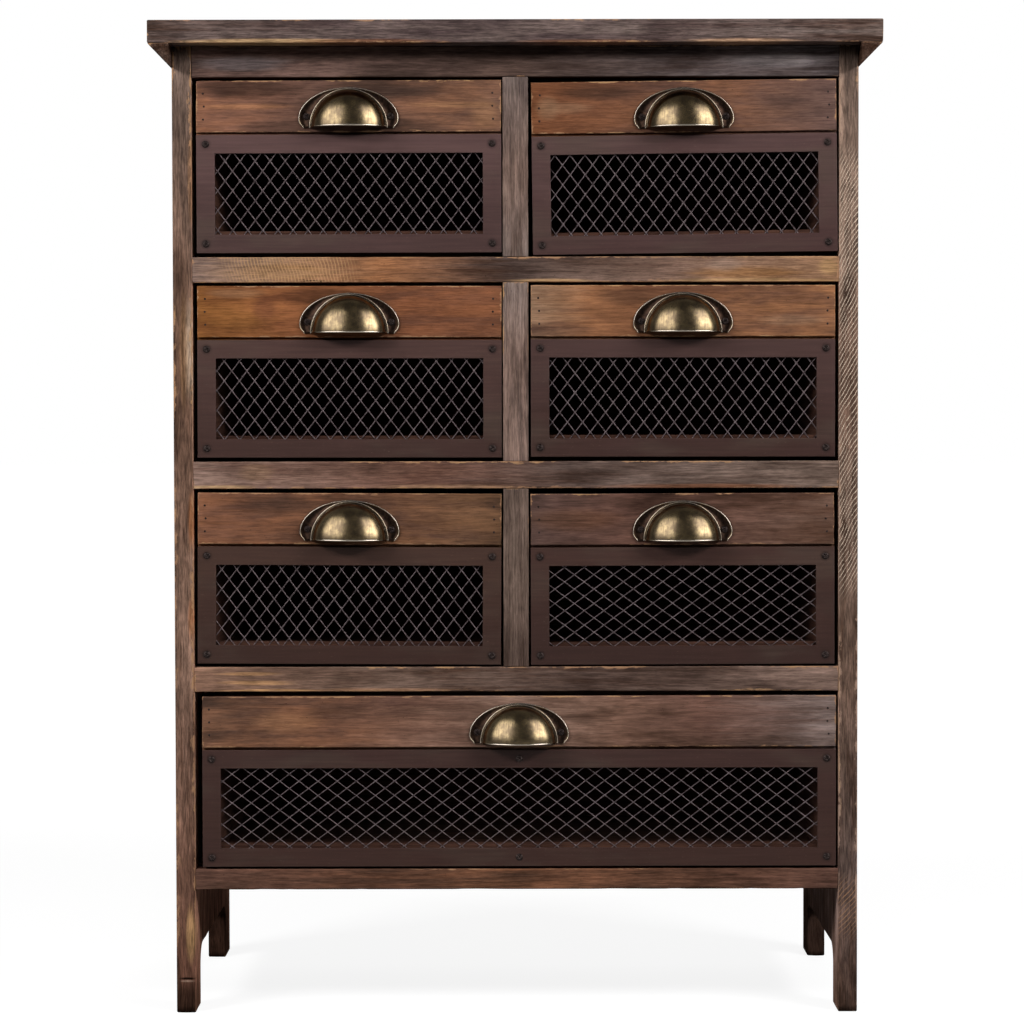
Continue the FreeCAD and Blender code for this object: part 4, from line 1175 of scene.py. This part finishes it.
def front_board(width, seed):
    """Front board with the tongue that reaches down behind the frame."""
    bm = new_bmesh()
    height = FRONT_HEIGHT - SHOULDER
    turn = axes(X, Z, (0, BOARD_THICKNESS / 2, SHOULDER + height / 2))
    plate(bm, rectangle(width, height), BOARD_THICKNESS, turn, seed)
    turn = axes(X, Z, (0, BOARD_THICKNESS - TONGUE_THICKNESS / 2, SHOULDER - TONGUE_HEIGHT / 2))
    half = (width / 2, height / 2, BOARD_THICKNESS / 2)
    tongue = rectangle(width, TONGUE_HEIGHT)
    plate(bm, tongue, TONGUE_THICKNESS, turn, seed, bevel=0.3, dents=0.0, half=half)
    return bm


def grille_frame(width):
    """Flat metal frame with small bevels at its outer and inner edges, open in the middle."""
    bm = bmesh.new()
    profile = ((FRAME_BEVEL, 0.0), (0.1, 0.1), (0.0, FRAME_BEVEL), (0.0, FRAME_THICKNESS))
    chains = []
    for margin, way in ((0.0, 1), (FRAME_MEMBER, -1)):
        rings = []
        for inset, y in profile:
            low = margin + way * inset
            x, high = width / 2 - low, FRAME_HEIGHT - low
            corners = divided([(-x, low), (x, low), (x, high), (-x, high)], 12.0)
            rings.append([bm.verts.new((px, y, pz)) for px, pz in corners])
        chains.append(rings)
    for rings in chains:
        bridge(bm, rings)
    outer, inner = chains
    for face in (0, -1):
        edges = []
        for ring in (outer[face], inner[face]):
            edges += [bm.edges.get(pair) for pair in zip(ring, ring[1:] + ring[:1])]
        bmesh.ops.triangle_fill(bm, use_beauty=True, edges=edges)
    return bm


def make_drawer(name, seed):
    row, side, width, shift, lift_left, lift_right, *pattern = DRAWERS[name]
    level = RAILS[row][1] + (lift_left + lift_right) / 2
    place = Vector((side * OPENING_CENTRE + shift, FRONT_Y, level))
    tilt = Matrix.Rotation(math.atan((lift_left - lift_right) / width), 4, "Y")
    matrix = Matrix.Translation(place * MM) @ tilt

    def finish(piece, bm, material, slot, node, weighted=False):
        ride = (f"{name}_drawer", slot, [f"{name}_drawer_{node}"])
        return finish_piece(f"{name}_{piece}", bm, material, *ride, matrix, weighted)

    wood = wood_material(
        f"{name}_front_wood", half_length=width / 2, wear=0.85, heart=10.0 + 6.0 * (seed % 3),
        contrast=0.65, soft=0.19, rim=0.55, mottle=0.7, fibres=0.45, **BOARD_WOODS[name],
    )
    finish("front", front_board(width, seed), wood, "drawer_wood", "front_board", weighted=True)
    enamel = frame_material(f"{name}_frame_enamel", *FRAME_TONES[name], width, seed)
    finish("grille", grille_frame(width), enamel, "frame_metal", "grille_frame")
    margin = FRAME_MEMBER - MESH_LAP
    sheet = mesh_sheet(width / 2 - margin, margin, FRAME_HEIGHT - margin, *pattern)
    finish("expanded_mesh", sheet, mesh_steel, "mesh_metal", "mesh")
    pull = finish("cup_pull", cup_pull(), bronze, "pull_metal", "pull")
    solid = pull.modifiers.new("thickness", "SOLIDIFY")
    solid.thickness = 1.0 * MM
    solid.offset = -1.0
    finish("screws", fasteners(name, width), screw_steel, "screw_metal", "fasteners")
    recolour(f"{name}_drawer_box", inner_wood)


make_top()
for side, side_name, seed in ((-1, "left", 2.0), (1, "right", 3.0)):
    make_cornice(side, side_name, seed)
    make_side(side, side_name, seed + 2)
for seed, rail in enumerate(RAILS, 10):
    make_rail(rail, seed)
for seed, row in enumerate(MULLION_WOODS, 20):
    make_mullion(row, seed)
make_back()
for node in ("back_rails", "side_runners", "centre_runners"):
    recolour(node, hidden_wood)
make_nail_heads()
for seed, drawer_name in enumerate(DRAWERS, 40):
    make_drawer(drawer_name, float(seed))


# Studio: strengths are shares of white, azimuths are degrees from the front

AMBIENT = 0.045
ROOM_REFLECTION = 0.12
BACKDROP_REFLECTION = 0.35
BRIGHTEST_REFLECTION = 6.0
FLOOR_GLOW = 0.88
FLOOR_REFLECTION = 0.3
FLOOR_HALF = 30.0
# Azimuths from and to, and strength, of the panels that the metal mirrors
PANELS = ((-66.0, -8.0, 4.2), (24.0, 74.0, 6.0))
PANEL_FADE = math.radians(14.0)
LAMP_TARGET = Vector((0.0, 0.0, 0.55))
# Azimuth, elevation, width, height and power of each lamp, all of them 2 m from their target
LAMPS = {
    "left_softbox": (-52.0, 24.0, 0.8, 0.36, 30.5),
    "right_softbox": (52.0, 24.0, 0.8, 0.36, 30.5),
    "top_softbox": (0.0, 50.0, 1.4, 0.5, 5.0),
    "back_softbox": (165.0, 30.0, 1.2, 0.8, 12.0),
}
LAMP_DISTANCE = 2.0
# Camera, fitted to the corners of the chest in the photograph
LENS, SENSOR = 99.17, 36.0
CAMERA_PLACE = (-0.002945, -2.459, 0.49063)
CAMERA_PITCH, CAMERA_YAW, CAMERA_ROLL = 1.846, 0.009, 0.114


def make_floor():
    mesh = bpy.data.meshes.new("floor")
    corners = [(x * FLOOR_HALF, y * FLOOR_HALF, 0) for x, y in ((-1, -1), (1, -1), (1, 1), (-1, 1))]
    mesh.from_pydata(corners, [], [(0, 1, 2, 3)])
    floor = bpy.data.objects.new("floor", mesh)
    bpy.context.scene.collection.objects.link(floor)
    material, tree, shader = new_material("floor_white", 0.9, specular=0.0)
    shader.inputs["Base Color"].default_value = (0.2, 0.2, 0.2, 1.0)
    rays = tree.node("ShaderNodeLightPath").outputs
    mirrored = tree.math("MAXIMUM", rays["Is Glossy Ray"], rays["Is Transmission Ray"])
    seen = tree.math("MAXIMUM", rays["Is Camera Ray"], tree.times(mirrored, FLOOR_REFLECTION))
    # Near the chest the lamps add the rest of the white, so that its shadow shows
    away = tree.vmath("LENGTH", tree.coordinates())
    strength = tree.times(seen, tree.span(away, 0.7, 2.2, FLOOR_GLOW, 1))
    glow = tree.node("ShaderNodeEmission", (1, 1, 1, 1), strength)
    both = tree.node("ShaderNodeAddShader", shader.outputs[0], glow.outputs[0])
    tree.feed(material.node_tree.nodes["Material Output"].inputs["Surface"], both.outputs[0])
    floor.data.materials.append(material)


def make_world():
    """White to the camera, and to the metal a white backdrop, a dim room and two tall panels."""
    world = bpy.data.worlds.new("studio")
    world.use_nodes = True
    tree = Tree(world.node_tree)
    rays = tree.node("ShaderNodeLightPath").outputs
    camera = rays["Is Camera Ray"]
    mirrored = tree.math("MAXIMUM", rays["Is Glossy Ray"], rays["Is Transmission Ray"])
    seen = tree.math("MAXIMUM", camera, mirrored)
    x, y, z = tree.split(tree.coordinates("Generated"))
    azimuth = tree.math("ARCTAN2", x, tree.times(y, -1))
    shown = tree.span(y, -0.3, 0.25, ROOM_REFLECTION, BACKDROP_REFLECTION)
    upright = tree.times(tree.span(z, 0.55, 0.78, 1, 0), tree.span(z, 0, 0.25))
    for start, end, strength in PANELS:
        start, end = math.radians(start), math.radians(end)
        near_side = tree.span(azimuth, start, start + PANEL_FADE)
        far_side = tree.span(azimuth, end - PANEL_FADE, end, 1, 0)
        panel = tree.times(tree.times(near_side, far_side), upright)
        shown = tree.math("MAXIMUM", shown, tree.times(panel, strength))
    shown = tree.math("MAXIMUM", shown, camera)
    shown = tree.math("MINIMUM", shown, tree.span(camera, 0, 1, BRIGHTEST_REFLECTION, 1))
    lit = tree.times(tree.minus(1, seen), AMBIENT)
    background = world.node_tree.nodes["Background"]
    background.inputs["Color"].default_value = (1.0, 1.0, 1.0, 1.0)
    tree.feed(background.inputs["Strength"], tree.plus(tree.times(shown, seen), lit))
    bpy.context.scene.world = world


def add_softbox(name, azimuth, elevation, width, height, power):
    """Area light that faces the middle of the chest and isn't mirrored in it."""
    a, e = math.radians(azimuth), math.radians(elevation)
    way = Vector((math.sin(a) * math.cos(e), -math.cos(a) * math.cos(e), math.sin(e)))
    place = LAMP_TARGET + LAMP_DISTANCE * way
    lamp = bpy.data.lights.new(name, "AREA")
    lamp.shape = "RECTANGLE"
    lamp.size, lamp.size_y = width, height
    lamp.energy = power
    item = bpy.data.objects.new(name, lamp)
    item.location = place
    item.visible_glossy = False
    item.rotation_euler = (LAMP_TARGET - place).to_track_quat("-Z", "Y").to_euler()
    bpy.context.scene.collection.objects.link(item)


def make_camera():
    data = bpy.data.cameras.new("camera")
    data.sensor_width = SENSOR
    data.lens = LENS
    pitch, yaw, roll = (math.radians(a) for a in (CAMERA_PITCH, CAMERA_YAW, CAMERA_ROLL))
    level = Matrix.Rotation(yaw, 4, "Z") @ Matrix.Rotation(math.pi / 2 - pitch, 4, "X")
    item = bpy.data.objects.new("camera", data)
    item.matrix_world = Matrix.Translation(CAMERA_PLACE) @ level @ Matrix.Rotation(-roll, 4, "Z")
    bpy.context.scene.collection.objects.link(item)
    bpy.context.scene.camera = item


make_floor()
make_world()
for lamp_name, setting in LAMPS.items():
    add_softbox(lamp_name, *setting)
make_camera()
bpy.context.scene.view_settings.view_transform = "Standard"
